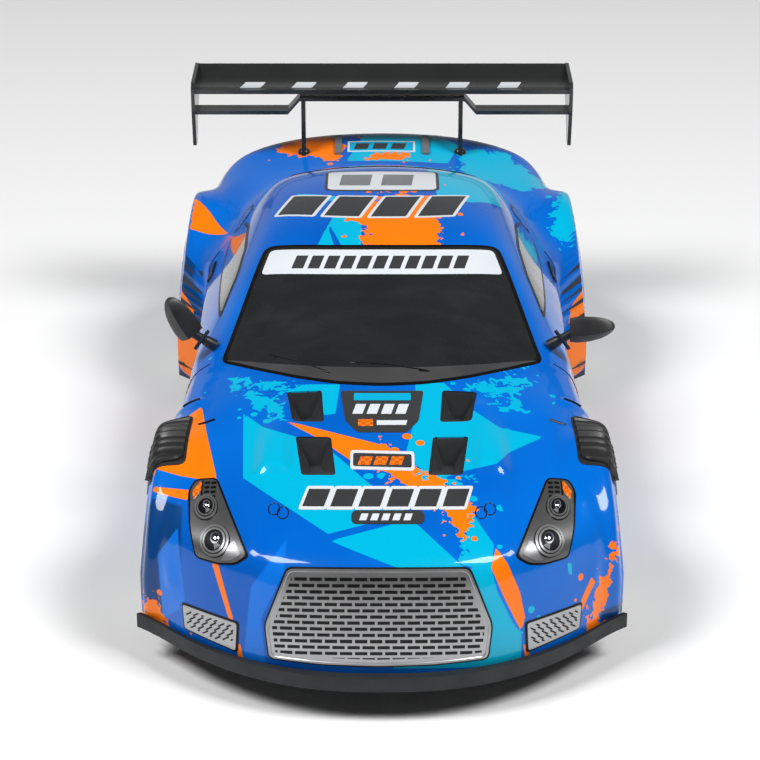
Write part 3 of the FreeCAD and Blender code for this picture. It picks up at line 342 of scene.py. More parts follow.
def path_on(plane, corners, spacing=1.0, lift=0.0, closed=False, bend=0.0):
    """A line drawn on a sketch plane, as points on the body."""
    corners = [np.array(corner, float) for corner in corners]
    if closed:
        corners.append(corners[0])
    uv = []
    for start, end in zip(corners, corners[1:]):
        count = max(1, math.ceil(np.linalg.norm(end - start) / spacing))
        uv += [start + (end - start) * k / count for k in range(count)]
    if not closed:
        uv.append(corners[-1])
    uv = np.array(uv)
    uv[:, 1] += bend * uv[:, 0] ** 2
    points, normals = land(plane, uv)
    return points + normals * lift


def tube_mesh(path, radius, closed=False, around=8):
    path = np.asarray(path, float)
    count = len(path)
    if closed:
        way = np.roll(path, -1, 0) - np.roll(path, 1, 0)
    else:
        way = np.gradient(path, axis=0)
    way /= np.linalg.norm(way, axis=1, keepdims=True)
    side = np.cross(way, (0.31, 0.17, 0.93))
    for i in range(1, count):
        side[i] = side[i - 1] - (side[i - 1] @ way[i]) * way[i]
        side[i] /= np.linalg.norm(side[i])
    side[0] /= np.linalg.norm(side[0])
    other = np.cross(way, side)
    radius = np.broadcast_to(np.asarray(radius, float), (count,))
    points = []
    for k in range(around):
        angle = 2 * math.pi * k / around
        points.append(path + radius[:, None] * (math.cos(angle) * side + math.sin(angle) * other))
    points = np.stack(points, 1).reshape(-1, 3)
    faces = []
    for i in range(count if closed else count - 1):
        j = (i + 1) % count
        for k in range(around):
            m = (k + 1) % around
            faces.append([i * around + k, i * around + m, j * around + m, j * around + k])
    if not closed:
        faces.append(list(range(around))[::-1])
        faces.append([(count - 1) * around + k for k in range(around)])
    return points, faces


def tubes(name, paths, radius, material, slot, closed=False, around=8):
    """Round beads along paths, as one piece."""
    piece(name, *joined([tube_mesh(path, radius, closed, around) for path in paths]), material, slot)


def turned_mesh(profile, centre, axis, around=40):
    """A profile of (radius, height) points turned about an axis; it starts and ends on the axis."""
    axis = np.array(axis, float) / np.linalg.norm(axis)
    side = np.cross(axis, (0.0, 0.3, 1.0))
    side /= np.linalg.norm(side)
    other = np.cross(axis, side)
    angle = np.linspace(0, 2 * math.pi, around, endpoint=False)[:, None]
    spokes = np.cos(angle) * side + np.sin(angle) * other
    rings = [np.array(centre) + axis * height + max(radius, 1e-3) * spokes for radius, height in profile]
    points = np.concatenate(rings)
    faces = []
    for i in range(len(profile) - 1):
        for k in range(around):
            m = (k + 1) % around
            faces.append([i * around + k, i * around + m, (i + 1) * around + m, (i + 1) * around + k])
    faces.append(list(range(around))[::-1])
    faces.append([(len(profile) - 1) * around + k for k in range(around)])
    return points, faces


# ---------------------------------------------------------------- materials
class Shader:
    """A material whose nodes are wired by short calls. Sizes of its patterns are in millimetres."""

    def __init__(self, name, **surface):
        self.material = bpy.data.materials.new(name)
        self.material.use_nodes = True
        self.tree = self.material.node_tree
        self.surface = self.tree.nodes["Principled BSDF"]
        self.place = self.add("ShaderNodeTexCoord").outputs["Object"]
        for socket, value in surface.items():
            self.surface.inputs[socket.replace("_", " ")].default_value = value

    def add(self, kind, inputs=None, **properties):
        node = self.tree.nodes.new(kind)
        for key, value in properties.items():
            setattr(node, key, value)
        for key, value in (inputs or {}).items():
            if isinstance(value, bpy.types.NodeSocket):
                self.tree.links.new(value, node.inputs[key])
            else:
                node.inputs[key].default_value = value
        return node

    def math(self, operation, a, b=0.0):
        return self.add("ShaderNodeMath", {0: a, 1: b}, operation=operation).outputs[0]

    def noise(self, size, detail=3.0, stretch=(1, 1, 1), distortion=0.0):
        place = self.add("ShaderNodeMapping", {"Vector": self.place, "Scale": stretch}).outputs[0]
        return self.add("ShaderNodeTexNoise", {"Vector": place, "Scale": 1 / (size * MM), "Detail": detail,
                                               "Distortion": distortion}).outputs["Fac"]

    def spots(self, size):
        return self.add("ShaderNodeTexVoronoi", {"Vector": self.place, "Scale": 1 / (size * MM)})

    def span(self, value, low, high, out_low=0.0, out_high=1.0):
        return self.add("ShaderNodeMapRange", {"Value": value, "From Min": low, "From Max": high,
                                               "To Min": out_low, "To Max": out_high}).outputs[0]

    def mix(self, share, first, second):
        node = self.add("ShaderNodeMix", data_type="RGBA")
        for socket, value in (("Factor_Float", share), ("A_Color", first), ("B_Color", second)):
            target = next(item for item in node.inputs if item.identifier == socket)
            if isinstance(value, bpy.types.NodeSocket):
                self.tree.links.new(value, target)
            else:
                target.default_value = value if isinstance(value, float) else (*value, 1)
        return next(item for item in node.outputs if item.identifier == "Result_Color")

    def attribute(self, name):
        return self.add("ShaderNodeAttribute", attribute_name=name).outputs["Fac"]

    def wire(self, socket, value):
        self.tree.links.new(value, self.surface.inputs[socket])

    def bump(self, height, depth):
        """Bump from a 0 to 1 height, whose full depth is in millimetres."""
        node = self.add("ShaderNodeBump", {"Height": height, "Distance": depth * MM, "Strength": 1.0})
        self.wire("Normal", node.outputs[0])


def varied(color, share):
    """A darker and a lighter neighbour of a colour."""
    return tuple(c * (1 - share) for c in color), tuple(min(1, c * (1 + share)) for c in color)


def moulded(name, color, roughness, grain=0.35, grain_depth=0.02, change=0.18, coat=0.0, specular=0.5):
    """Moulded plastic: fine grain, slow changes of tone, and wiped patches in its gloss."""
    shader = Shader(name, Coat_Weight=coat, Coat_Roughness=0.08, Specular_IOR_Level=specular)
    dark, light = varied(color, change)
    shader.wire("Base Color", shader.mix(shader.noise(14, 4), dark, light))
    cloud = shader.span(shader.noise(6, 5), 0.3, 0.7, roughness * 0.82, min(1, roughness * 1.2))
    shader.wire("Roughness", cloud)
    shader.bump(shader.noise(grain, 2), grain_depth)
    return shader.material


def metal(name, color, roughness, stretch=(1, 1, 1)):
    """Turned or brushed metal: fine marks along one way and a clouded gloss."""
    shader = Shader(name, Metallic=1.0)
    dark, light = varied(color, 0.12)
    marks = shader.noise(0.6, 5, stretch)
    shader.wire("Base Color", shader.mix(marks, dark, light))
    shader.wire("Roughness", shader.span(shader.noise(4, 4), 0.3, 0.7, roughness * 0.75, roughness * 1.3))
    shader.bump(marks, 0.015)
    return shader.material


def silver_film(name, tone=0.34):
    """Printed silver: a dull metallic film with a fine sparkle."""
    shader = Shader(name, Metallic=0.9, Coat_Weight=0.25, Coat_Roughness=0.12)
    dark, light = varied((tone, tone, tone * 1.02), 0.16)
    shader.wire("Base Color", shader.mix(shader.noise(9, 4), dark, light))
    shader.wire("Roughness", shader.span(shader.noise(0.25, 2), 0.3, 0.7, 0.3, 0.42))
    shader.bump(shader.noise(0.5, 2), 0.008)
    return shader.material


def tinted_glass(name, color=(0.017, 0.018, 0.019), coat_ior=1.5):
    """Dark tinted window film under clear plastic, with faint wipe marks."""
    shader = Shader(name, Coat_Weight=1.0, Coat_Roughness=0.03, Coat_IOR=coat_ior)
    dark, light = varied(color, 0.35)
    shader.wire("Base Color", shader.mix(shader.noise(30, 3, distortion=1.2), dark, light))
    shader.wire("Roughness", shader.span(shader.noise(12, 4, (1, 2.5, 1)), 0.35, 0.7, 0.2, 0.34))
    shader.bump(shader.noise(16, 2), 0.03)
    return shader.material


def rubber(name):
    shader = Shader(name, Specular_IOR_Level=0.35)
    dark, light = varied((0.022, 0.022, 0.023), 0.3)
    dust = shader.span(shader.noise(2.2, 5), 0.52, 0.72)
    shader.wire("Base Color", shader.mix(dust, dark, light))
    shader.wire("Roughness", shader.span(shader.noise(5, 4), 0.3, 0.7, 0.62, 0.85))
    shader.bump(shader.noise(0.4, 3), 0.03)
    return shader.material


def circuit_board(name):
    """Green lacquer over copper tracks."""
    shader = Shader(name, Coat_Weight=0.5, Coat_Roughness=0.15)
    tracks = shader.add("ShaderNodeTexBrick", {"Vector": shader.place, "Scale": 1 / (6 * MM),
                                               "Mortar Size": 0.04, "Brick Width": 0.9, "Row Height": 0.35})
    green = shader.mix(shader.noise(5, 3), (0.008, 0.11, 0.035), (0.012, 0.16, 0.05))
    shader.wire("Base Color", shader.mix(tracks.outputs["Fac"], green, (0.06, 0.3, 0.09)))
    shader.wire("Roughness", shader.span(shader.noise(2, 3), 0.3, 0.7, 0.3, 0.45))
    shader.bump(tracks.outputs["Fac"], 0.04)
    return shader.material


CELL_PITCH = 14.25


def wrapped_cells(name):
    """Shrink wrap over four cells: a soft hollow between neighbours and small creases, with painted shade
    darkening the colour in each hollow.
    """
    shader = Shader(name, Coat_Weight=0.6, Coat_Roughness=0.1)
    across = shader.add("ShaderNodeSeparateXYZ", {0: shader.place}).outputs["X"]
    turn = shader.math("MULTIPLY", across, math.pi / (CELL_PITCH * MM))
    cell = shader.math("ABSOLUTE", shader.math("SINE", turn))
    # painted shade: the green is darkest in the hollows between cells and lightest on their crowns
    dark, light = (0.008, 0.09, 0.05), (0.02, 0.26, 0.14)
    shader.wire("Base Color", shader.mix(shader.math("POWER", cell, 0.5), dark, light))
    shader.wire("Roughness", shader.span(shader.noise(3, 4), 0.3, 0.7, 0.25, 0.45))
    shader.bump(shader.math("ADD", cell, shader.math("MULTIPLY", shader.noise(2, 4, (1, 0.2, 1)), 0.2)), 0.5)
    return shader.material


DEEP_BLUE, BRIGHT_BLUE, NAVY = (0.0, 0.1, 0.5), (0.0, 0.15, 0.64), (0.002, 0.05, 0.2)
CYAN, ORANGE = (0.0, 0.44, 0.68), (1.0, 0.2, 0.004)
SPLASH_SIZE = 5.0
DROP_REACH = 7.5


def printed_body(name):
    """Glossy printed shell. Each colour's edge is a signed distance in mm, stored on the mesh.

    Noise frays the edges of the splash layers and throws drops round them.
    """
    shader = Shader(name, Coat_Weight=0.85, Coat_Roughness=0.05, Coat_IOR=1.42, Specular_IOR_Level=0.04)
    fine = shader.math("SUBTRACT", shader.noise(1.3, 2), 0.5)
    broad = shader.math("SUBTRACT", shader.noise(4.2, 3, distortion=0.6), 0.5)
    rough = shader.math("ADD", broad, shader.math("MULTIPLY", fine, 0.45))
    fray = shader.math("MULTIPLY", rough, SPLASH_SIZE * 2.2)
    drops = shader.spots(3.4)
    cell = shader.add("ShaderNodeSeparateColor", {0: drops.outputs["Color"]})
    drop_radius = shader.math("MULTIPLY", shader.math("POWER", cell.outputs[0], 2.0), 0.42)
    drop = shader.span(shader.math("SUBTRACT", drop_radius, drops.outputs["Distance"]), -0.01, 0.01)

    def cover(layer, side):
        """Where a layer's plain shapes, frayed shapes and thrown drops lie."""
        plain = shader.span(shader.attribute(layer), -0.05, 0.05)
        splash = shader.attribute(layer + "_splash")
        frayed = shader.span(shader.math("ADD", splash, fray), -0.05, 0.05)
        near = shader.math("GREATER_THAN", splash, -DROP_REACH)
        chosen = shader.math("GREATER_THAN", cell.outputs[1], 0.5) if side else shader.math(
            "LESS_THAN", cell.outputs[1], 0.5)
        thrown = shader.math("MULTIPLY", shader.math("MULTIPLY", drop, near), chosen)
        return shader.math("MAXIMUM", shader.math("MAXIMUM", plain, frayed), thrown)

    blue = shader.mix(shader.span(shader.noise(55, 2), 0.35, 0.65), DEEP_BLUE, BRIGHT_BLUE)
    # the navy layer darkens the blue over parts of the front fenders and the flanks
    color = shader.mix(shader.span(shader.attribute("navy"), -0.4, 0.4), blue, NAVY)
    # painted highlight: the lighter blue layer lightens the blue beside the grille's upper corners and along
    # the left front fender crease, and draws a lighter band across each door
    color = shader.mix(shader.span(shader.attribute("light_blue_and_painted_highlight"), -0.2, 0.2), color, (0.003, 0.17, 0.72))
    color = shader.mix(cover("cyan", True), color, CYAN)
    color = shader.mix(cover("orange", False), color, ORANGE)
    shader.wire("Base Color", color)
    shader.wire("Roughness", shader.span(shader.noise(18, 4), 0.3, 0.7, 0.26, 0.4))
    shader.bump(shader.noise(3.0, 2), 0.012)
    return shader.material


def lens(name, color):
    """A coloured moulded lamp lens with fine prisms."""
    shader = Shader(name, Coat_Weight=1.0, Coat_Roughness=0.03)
    dark, light = varied(color, 0.3)
    prisms = shader.add("ShaderNodeTexChecker", {"Vector": shader.place,
                                                 "Scale": 1 / (1.1 * MM)}).outputs["Fac"]
    shader.wire("Base Color", shader.mix(prisms, dark, light))
    shader.wire("Roughness", shader.span(shader.noise(2, 3), 0.3, 0.7, 0.2, 0.35))
    shader.bump(prisms, 0.05)
    return shader.material


BODY_PAINT = printed_body("printed_body_film")
LINING = moulded("shell_lining", (0.02, 0.03, 0.06), 0.6)
BLACK_GLOSS = moulded("black_gloss", (0.022, 0.024, 0.023), 0.24, grain=1.2, grain_depth=0.01, coat=0.35)
BLACK_SATIN = moulded("black_satin", (0.017, 0.017, 0.018), 0.42, grain=0.5, grain_depth=0.02)
CHARCOAL = moulded("printed_charcoal", (0.04, 0.042, 0.045), 0.35, coat=0.3, specular=0.3)
OUTLINE = moulded("printed_outline", (0.004, 0.004, 0.004), 0.4, coat=0.15, specular=0.2)
PALE_PRINT = moulded("printed_pale", (0.72, 0.76, 0.8), 0.35, coat=0.8, change=0.06)
GREY_PRINT = moulded("printed_grey", (0.16, 0.17, 0.18), 0.3, coat=0.8)
SILVER_FILM = silver_film("printed_silver", 0.4)
DULL_SILVER = silver_film("printed_dull_silver", 0.27)
CHROME = metal("lamp_chrome", (0.75, 0.76, 0.78), 0.12)
GLASS = tinted_glass("tinted_window")
COWL = tinted_glass("tinted_cowl", (0.06, 0.06, 0.062))
SIDE_GLASS = tinted_glass("tinted_side_window", (0.03, 0.036, 0.042), 2.0)
ORANGE_PRINT = lens("orange_reflector", (0.95, 0.17, 0.008))
RED_LENS = lens("red_lens", (0.5, 0.006, 0.006))
CYAN_PRINT = moulded("printed_cyan", (0.0, 0.42, 0.68), 0.3, coat=0.8, change=0.08)

FINISHES = {
    "printed_body": BODY_PAINT,
    "black_gloss": BLACK_GLOSS,
    "black_satin": BLACK_SATIN,
    "splitter_grey": moulded("splitter_grey", (0.017, 0.019, 0.021), 0.55, grain=0.4, grain_depth=0.03,
                             specular=0.35),
    "tub_black": moulded("tub_nylon", (0.014, 0.014, 0.015), 0.55, grain=0.3, grain_depth=0.03),
    "tyre_rubber": rubber("tyre_rubber"),
    "rim_silver": moulded("rim_lacquer", (0.52, 0.53, 0.55), 0.25, grain=0.2, grain_depth=0.01, change=0.08,
                          coat=0.5),
    "steel": metal("turned_steel", (0.5, 0.5, 0.51), 0.3, (0.2, 1, 1)),
    "zinc_screw": metal("zinc_plate", (0.56, 0.56, 0.54), 0.35),
    "brass": metal("turned_brass", (0.72, 0.5, 0.2), 0.3, (0.2, 1, 1)),
    "gear_white": moulded("acetal", (0.72, 0.72, 0.68), 0.4, change=0.06),
    "motor_steel": metal("motor_can", (0.42, 0.42, 0.43), 0.34, (0.1, 1, 1)),
    "battery_wrap": wrapped_cells("battery_wrap"),
    "circuit_green": circuit_board("circuit_board"),
    "knob_red": moulded("red_knob", (0.42, 0.012, 0.01), 0.4),
}


def finish_frame_nodes():
    """Gives every node of the frame its slot's finish."""
    for part in frame["record"]["subparts"]:
        node = frame["nodes"][part["node"]]
        node.data.materials.clear()
        node.data.materials.append(FINISHES[part["material_slot"]])


# ---------------------------------------------------------------- livery
def away_from(outline, u, v):
    """Signed distance to a polygon's edge: positive inside it."""
    outline = [np.array(point, float) for point in outline]
    best = np.full(u.shape, 1e6)
    inside = np.zeros(u.shape, bool)
    for start, end in zip(outline, outline[1:] + outline[:1]):
        way = end - start
        t = np.clip(((u - start[0]) * way[0] + (v - start[1]) * way[1]) / (way @ way), 0, 1)
        best = np.minimum(best, np.hypot(u - start[0] - t * way[0], v - start[1] - t * way[1]))
        crosses = (start[1] > v) != (end[1] > v)
        rise = way[1] if way[1] else 1e-9
        inside ^= crosses & (u < start[0] + (v - start[1]) * way[0] / rise)
    return np.where(inside, best, -best)


# Each shape: layer, sketch plane, and its outline there. The bonnet and nose use the leaning plane.
LIVERY = (
    # bonnet, left of centre as seen from the front
    ("cyan", "slope", ((-37.5, -9), (-32, -12.5), (-23.7, -14.8), (-13.4, -18.7), (1.5, -30.5), (6, -33.5),
                       (-2, -36), (-13.6, -38.8), (-36.2, -25.5))),
    ("orange", "slope", ((-27.1, -10.6), (-12, -14.2), (2, -17.6), (3, -24.5), (-8.4, -20.9), (-17, -15.4))),
    ("cyan", "slope", ((-22, -1.2), (-11.5, -1.2), (-12.5, -9), (-15.3, -9.5))),
    ("cyan_splash", "slope", ((-44, 0.5), (-20, -2.2), (-22, -4), (-40, -2))),
    ("cyan_splash", "slope", ((-37, -4), (-28, -4), (-27, -9), (-34, -8))),
    # bonnet, right of centre
    ("cyan", "slope", ((9, -0.8), (17, -0.8), (25.1, -8.5), (31.6, -12.8), (43.1, -15.2), (33.2, -19.3),
                       (29.9, -21.8), (21.9, -23.6), (14, -26), (6, -20), (9.5, -8))),
    ("cyan_splash", "slope", ((2, -22), (14, -24), (24, -25), (17, -28.5), (8, -27))),
    ("cyan_splash", "slope", ((23, -2), (38, 0.5), (42, -1), (30, -5))),
    ("cyan_splash", "slope", ((33, -5.5), (37, -5), (38, -8), (34, -8.5))),
    ("orange_splash", "slope", ((0, -17.5), (4.7, -20.4), (11, -25), (17.6, -26.4), (22, -32), (23.4, -38),
                                (20.4, -40), (12, -29.4), (4, -26.2), (-1, -23.5))),
    ("cyan", "slope", ((18, -29.8), (22.4, -33), (28.2, -41.5), (27.3, -47), (29, -53.2), (33, -61.2),
                       (35.4, -64.4), (35.4, -73), (27, -73), (26.4, -58.5), (22.2, -47.5), (23, -43))),
    ("cyan_splash", "slope", ((20, -38), (24, -36), (25, -46), (20.5, -45.5))),
    ("cyan", "slope", ((-13.1, -40.4), (4.6, -36), (7.8, -35.6), (20.6, -46.8), (4.5, -47))),
    ("cyan_splash", "slope", ((27.5, -62), (35, -64), (35, -73), (27, -73))),
    ("cyan", "slope", ((2, -69), (28, -68), (28, -72.5), (3, -72.5))),
    ("orange", "slope", ((28.7, -42), (31.5, -46), (34.8, -53.4), (36.2, -60), (35.2, -63.6), (31, -55.3),
                         (27.3, -47))),
    ("orange", "slope", ((35.9, -67), (37.1, -67), (38, -73), (36.8, -73))),
    # painted highlights: lighter blue beside the grille
    ("light_blue_and_painted_highlight", "slope", ((27.8, -49), (33.5, -56), (34.5, -64), (31, -60.5), (28.6, -54))),
    ("light_blue_and_painted_highlight", "slope", ((-30.4, -60), (-24.5, -48), (-24, -40), (-33, -52), (-35.5, -73), (-29.5, -73))),
    # left fender as seen from the front
    ("orange", "slope", ((-49.2, -7.2), (-42.8, -26.6), (-52.8, -25), (-64, -22), (-66, -19), (-53, -10))),
    ("orange", "slope", ((-66, -27.2), (-49.9, -28.6), (-49.6, -31.2), (-57, -29.8))),
    ("navy", "slope", ((-66, -29.5), (-51.5, -32.5), (-51.5, -56), (-57, -61), (-66, -54))),
    # painted highlight: lighter blue along the fender crease
    ("light_blue_and_painted_highlight", "slope", ((-58, -45), (-52.5, -38), (-50.5, -58), (-57, -62))),
    ("orange_splash", "slope", ((-63, -57.5), (-58.3, -57), (-55.2, -67), (-63, -65))),
    ("orange", "slope", ((-43.2, -46.2), (-41.6, -46.2), (-37.6, -60.8), (-38.8, -60.8))),
    ("orange", "slope", ((-37.1, -67), (-36, -67), (-35, -72), (-36.4, -72))),
    # right fender as seen from the front
    ("orange", "slope", ((53.9, -50.6), (55, -52), (50.7, -61.2), (49.7, -60))),
    ("orange_splash", "slope", ((60.2, -42), (61, -48), (57.2, -58), (57.6, -66.5), (52.6, -67),
                                (54.6, -58))),
    ("navy", "slope", ((57, -60), (64, -58), (64, -66), (57, -68))),
    ("cyan", "slope", ((47.2, -46.5), (48.4, -46.8), (48.6, -50), (47.6, -49.4))),
    # roof
    ("cyan", "top", ((-26, 35), (-10.8, 27), (-6, 18.4), (-6, -6.5), (-11, -6.5), (-15.6, 9), (-11, 26),
                     (-24, 24))),
    ("cyan", "top", ((-19, -3.8), (-16, 8), (-13.6, -5.5))),
    ("cyan", "top", ((14, 61), (33, 62), (37, 36), (27, 28), (17, 26))),
    ("orange_splash", "top", ((-11, 15), (-4, 22), (8, 30), (15, 28), (17, 14), (16, -5), (-8, -6), (-5, 4))),
    ("orange_splash", "top", ((-2, 32), (6, 44), (12, 40), (9, 30))),
    # rear fenders
    ("orange", "top", ((-66, 89), (-61, 87.5), (-55, 76), (-48.3, 61), (-56, 66.5), (-66, 73))),
    ("cyan_splash", "top", ((53, 64), (66, 66), (66, 101), (59, 98))),
    # boot
    ("orange_splash", "top", ((-35, 122), (-16, 112), (-12, 124), (-20, 134), (-34, 133))),
    ("cyan", "top", ((-12, 112), (22, 111), (26, 126), (12, 140), (-4, 140))),
    ("orange_splash", "top", ((-6, 113), (8, 112), (10, 118), (-2, 119))),
    ("cyan_splash", "top", ((26, 100), (48, 92), (56, 104), (40, 124), (26, 122))),
)
FLANKS = (
    # shapes on both flanks, drawn on (y, z); the last word says which flank, or both
    ("orange", ((42, 10), (53, 39), (62, 38), (53, 10)), "both"),
    ("orange", ((70, 47), (86, 57.5), (104, 57.5), (88, 46)), "right"),
    ("navy", ((52, 36), (60, 50), (70, 53), (60, 34)), "right"),
    ("navy", ((104, 20), (128, 26), (130, 60), (108, 60)), "both"),
    ("cyan_splash", ((66, 44), (100, 50), (122, 46), (118, 58), (80, 60)), "left"),
    ("cyan_splash", ((108, 14), (126, 16), (124, 34), (112, 30)), "both"),
    ("cyan", ((-50, 10), (-20, 34), (6, 34), (-24, 10)), "both"),
    ("light_blue_and_painted_highlight", ((-16, 10), (14, 34), (26, 34), (-4, 10)), "both"),
    ("orange", ((-14, 10), (-8, 10), (30, 44), (22, 44)), "both"),
    ("orange_splash", ((-52, 30), (-40, 34), (-28, 46), (-44, 48)), "both"),
    ("navy", ((8, 10), (40, 10), (50, 38), (44, 44), (36, 44)), "both"),
    ("cyan_splash", ((-112, 14), (-104, 12), (-106, 34), (-114, 30)), "both"),
    ("orange", ((-98, 47), (-62, 47), (-60, 52), (-98, 52)), "right"),
)
LAYERS = ("cyan", "cyan_splash", "orange", "orange_splash", "navy", "light_blue_and_painted_highlight")
# A flank is where the skin faces sideways behind the nose, or stands up along the cabin and the tail.
FLANK_FACING, UPRIGHT_FACING = 0.72, 0.6
NOSE_END, UPRIGHT_SPAN = -100, (20, 122)
FRONT_END = -22
NOWHERE = -50.0


def livery_layers(points, normals):
    """Signed distances, one set per layer, from the shapes' edges at points on the body: cyan and orange
    print, a lighter blue layer that is partly painted highlight, and a navy layer that darkens the blue.
    """
    layers = {layer: np.full(len(points), NOWHERE) for layer in LAYERS}
    x, y, z = points.T
    upright = (y > UPRIGHT_SPAN[0]) & (y < UPRIGHT_SPAN[1]) & (normals[:, 2] < UPRIGHT_FACING)
    on_flank = (abs(normals[:, 0]) > FLANK_FACING) & (y > NOSE_END) | upright
    _, origin_y, origin_z = PLANES["slope"][0]
    lean_v = (z - origin_z) * math.cos(LEAN) + (y - origin_y) * math.sin(LEAN)
    domains = {"slope": (~on_flank & (y < FRONT_END), x, lean_v), "top": (~on_flank & (y >= FRONT_END), x, y)}
    for layer, plane, outline in LIVERY:
        here, u, v = domains[plane]
        distance = np.where(here, away_from(outline, u, v), NOWHERE)
        layers[layer] = np.maximum(layers[layer], distance)
    for layer, outline, which in FLANKS:
        for side, sign in SIDES:
            if which in (side, "both"):
                here = on_flank & (x * sign > 0)
                distance = np.where(here, away_from(outline, y, z), NOWHERE)
                layers[layer] = np.maximum(layers[layer], distance)
    return layers


# ---------------------------------------------------------------- the shell
ACROSS, DOWN, COARSE = 217, 393, 4
VENTS = tuple((name, tuple((sign * x, y) for x, y in corners)) for name, sign, corners in (
    ("upper_right", 1, ((16.4, -59.2), (26, -58.6), (24.1, -73), (15.5, -74))),
    ("upper_left", -1, ((16.4, -59.2), (26, -58.6), (24.1, -73), (15.5, -74))),
    ("lower_right", 1, ((13.5, -81), (23, -80), (21, -97.2), (12, -98))),
    ("lower_left", -1, ((13.5, -81), (23, -80), (21, -97.2), (12, -98)))))


def skin_grid(across, down, offset):
    """A grid of points over the whole form, grown by an offset, from the low rim over the roof."""
    s = np.linspace(-1, 1, across)[None, :]
    t = np.linspace(-1, 1, down)[:, None]
    height = np.clip(np.cos(s * math.pi / 2) * np.cos(t * math.pi / 2), 0, 1) ** 0.8
    height[:, (0, -1)] = 0
    height[(0, -1), :] = 0
    way = np.stack([66 * np.sin(s * math.pi / 2) + 0 * t, 138 * np.sin(t * math.pi / 2) + 0 * s,
                    80 * height], -1)
    low, high = np.full(height.shape, 0.1), np.full(height.shape, 1.8)
    for _ in range(SKIN_HALVINGS):
        middle = (low + high) / 2
        x, y, z = np.moveaxis(way * middle[..., None], -1, 0)
        inside = form(x, y, z + BASE_Z) < offset
        low, high = np.where(inside, middle, low), np.where(inside, high, middle)
    return (way * low[..., None] + (0, 0, BASE_Z)).reshape(-1, 3)


def grid_faces(across, down, first=0):
    return [[first + j * across + i, first + j * across + i + 1, first + (j + 1) * across + i + 1,
             first + (j + 1) * across + i] for j in range(down - 1) for i in range(across - 1)]


def rim_indices(across, down):
    """The grid's border, in order round the rim."""
    front = list(range(across))
    right = [j * across + across - 1 for j in range(1, down)]
    back = [(down - 1) * across + i for i in range(across - 2, -1, -1)]
    left = [j * across for j in range(down - 2, 0, -1)]
    return front + right + back + left


def prism(points, low, high):
    """A cutter with a plan outline."""
    count = len(points)
    corners = [(*point, low) for point in points] + [(*point, high) for point in points]
    walls = [[i, (i + 1) % count, count + (i + 1) % count, count + i] for i in range(count)]
    return corners, walls + [list(range(count))[::-1], list(range(count, 2 * count))]


def cutter(name, points, faces):
    mesh = bpy.data.meshes.new(name)
    mesh.from_pydata([tuple(point) for point in np.asarray(points) * MM], [], faces)
    work = bmesh.new()
    work.from_mesh(mesh)
    bmesh.ops.recalc_face_normals(work, faces=work.faces[:])
    work.to_mesh(mesh)
    work.free()
    obj = bpy.data.objects.new(name, mesh)
    bpy.context.scene.collection.objects.link(obj)
    return obj


def cut_away(obj, cutters):
    """Cuts shapes out of a piece and removes them."""
    for tool in cutters:
        change = obj.modifiers.new("cut", "BOOLEAN")
        change.operation, change.solver, change.object = "DIFFERENCE", "MANIFOLD", tool
    bpy.context.view_layer.update()
    result = bpy.data.meshes.new_from_object(obj.evaluated_get(bpy.context.evaluated_depsgraph_get()))
    obj.modifiers.clear()
    obj.data = result
    for tool in cutters:
        bpy.data.objects.remove(tool)


def build_shell():
    outer = skin_grid(ACROSS, DOWN, 0)
    few_across, few_down = (ACROSS - 1) // COARSE + 1, (DOWN - 1) // COARSE + 1
    inner = skin_grid(few_across, few_down, -SKIN)
    count = len(outer)
    faces = grid_faces(ACROSS, DOWN) + [face[::-1] for face in grid_faces(few_across, few_down, count)]
    outer_rim, inner_rim = rim_indices(ACROSS, DOWN), rim_indices(few_across, few_down)
    for k, first in enumerate(inner_rim):
        second = inner_rim[(k + 1) % len(inner_rim)]
        strip = [outer_rim[(k * COARSE + m) % len(outer_rim)] for m in range(COARSE + 1)]
        faces.append(strip[::-1] + [count + first, count + second])
    shell = piece("body_shell_printed", np.concatenate([outer, inner]), faces, BODY_PAINT, "printed_body",
                  replaces=("body_shell",))
    tools = []
    for side, sign in SIDES:
        for arch_y, radius in ARCHES:
            points, walls = turned_mesh([(0, 0), (radius, 0), (radius, 30), (0, 30)],
                                        (sign * 41, arch_y, AXLE_Z), (sign, 0, 0), 96)
            tools.append(cutter(f"arch_{side}", points, walls))
    for name, corners in VENTS:
        tools.append(cutter(f"vent_{name}", *prism(rounded(corners, 1.2), 40, 70)))
    cut_away(shell, tools)
    mesh = shell.data
    mesh.materials.clear()
    mesh.materials.append(BODY_PAINT)
    mesh.materials.append(LINING)
    points = np.empty(len(mesh.vertices) * 3, np.float32)
    mesh.vertices.foreach_get("co", points)
    points = points.reshape(-1, 3).astype(float) / MM
    middles = np.empty(len(mesh.polygons) * 3, np.float32)
    mesh.polygons.foreach_get("center", middles)
    middles = middles.reshape(-1, 3).astype(float) / MM
    inside = form(*middles.T) < -0.3
    mesh.polygons.foreach_set("material_index", inside.astype(np.int32))
    mesh.polygons.foreach_set("use_smooth", [True] * len(mesh.polygons))
    mesh.set_sharp_from_angle(angle=math.radians(38))
    for layer, values in livery_layers(points, slopes(points)).items():
        attribute = mesh.attributes.new(layer, "FLOAT", "POINT")
        attribute.data.foreach_set("value", values.astype(np.float32))


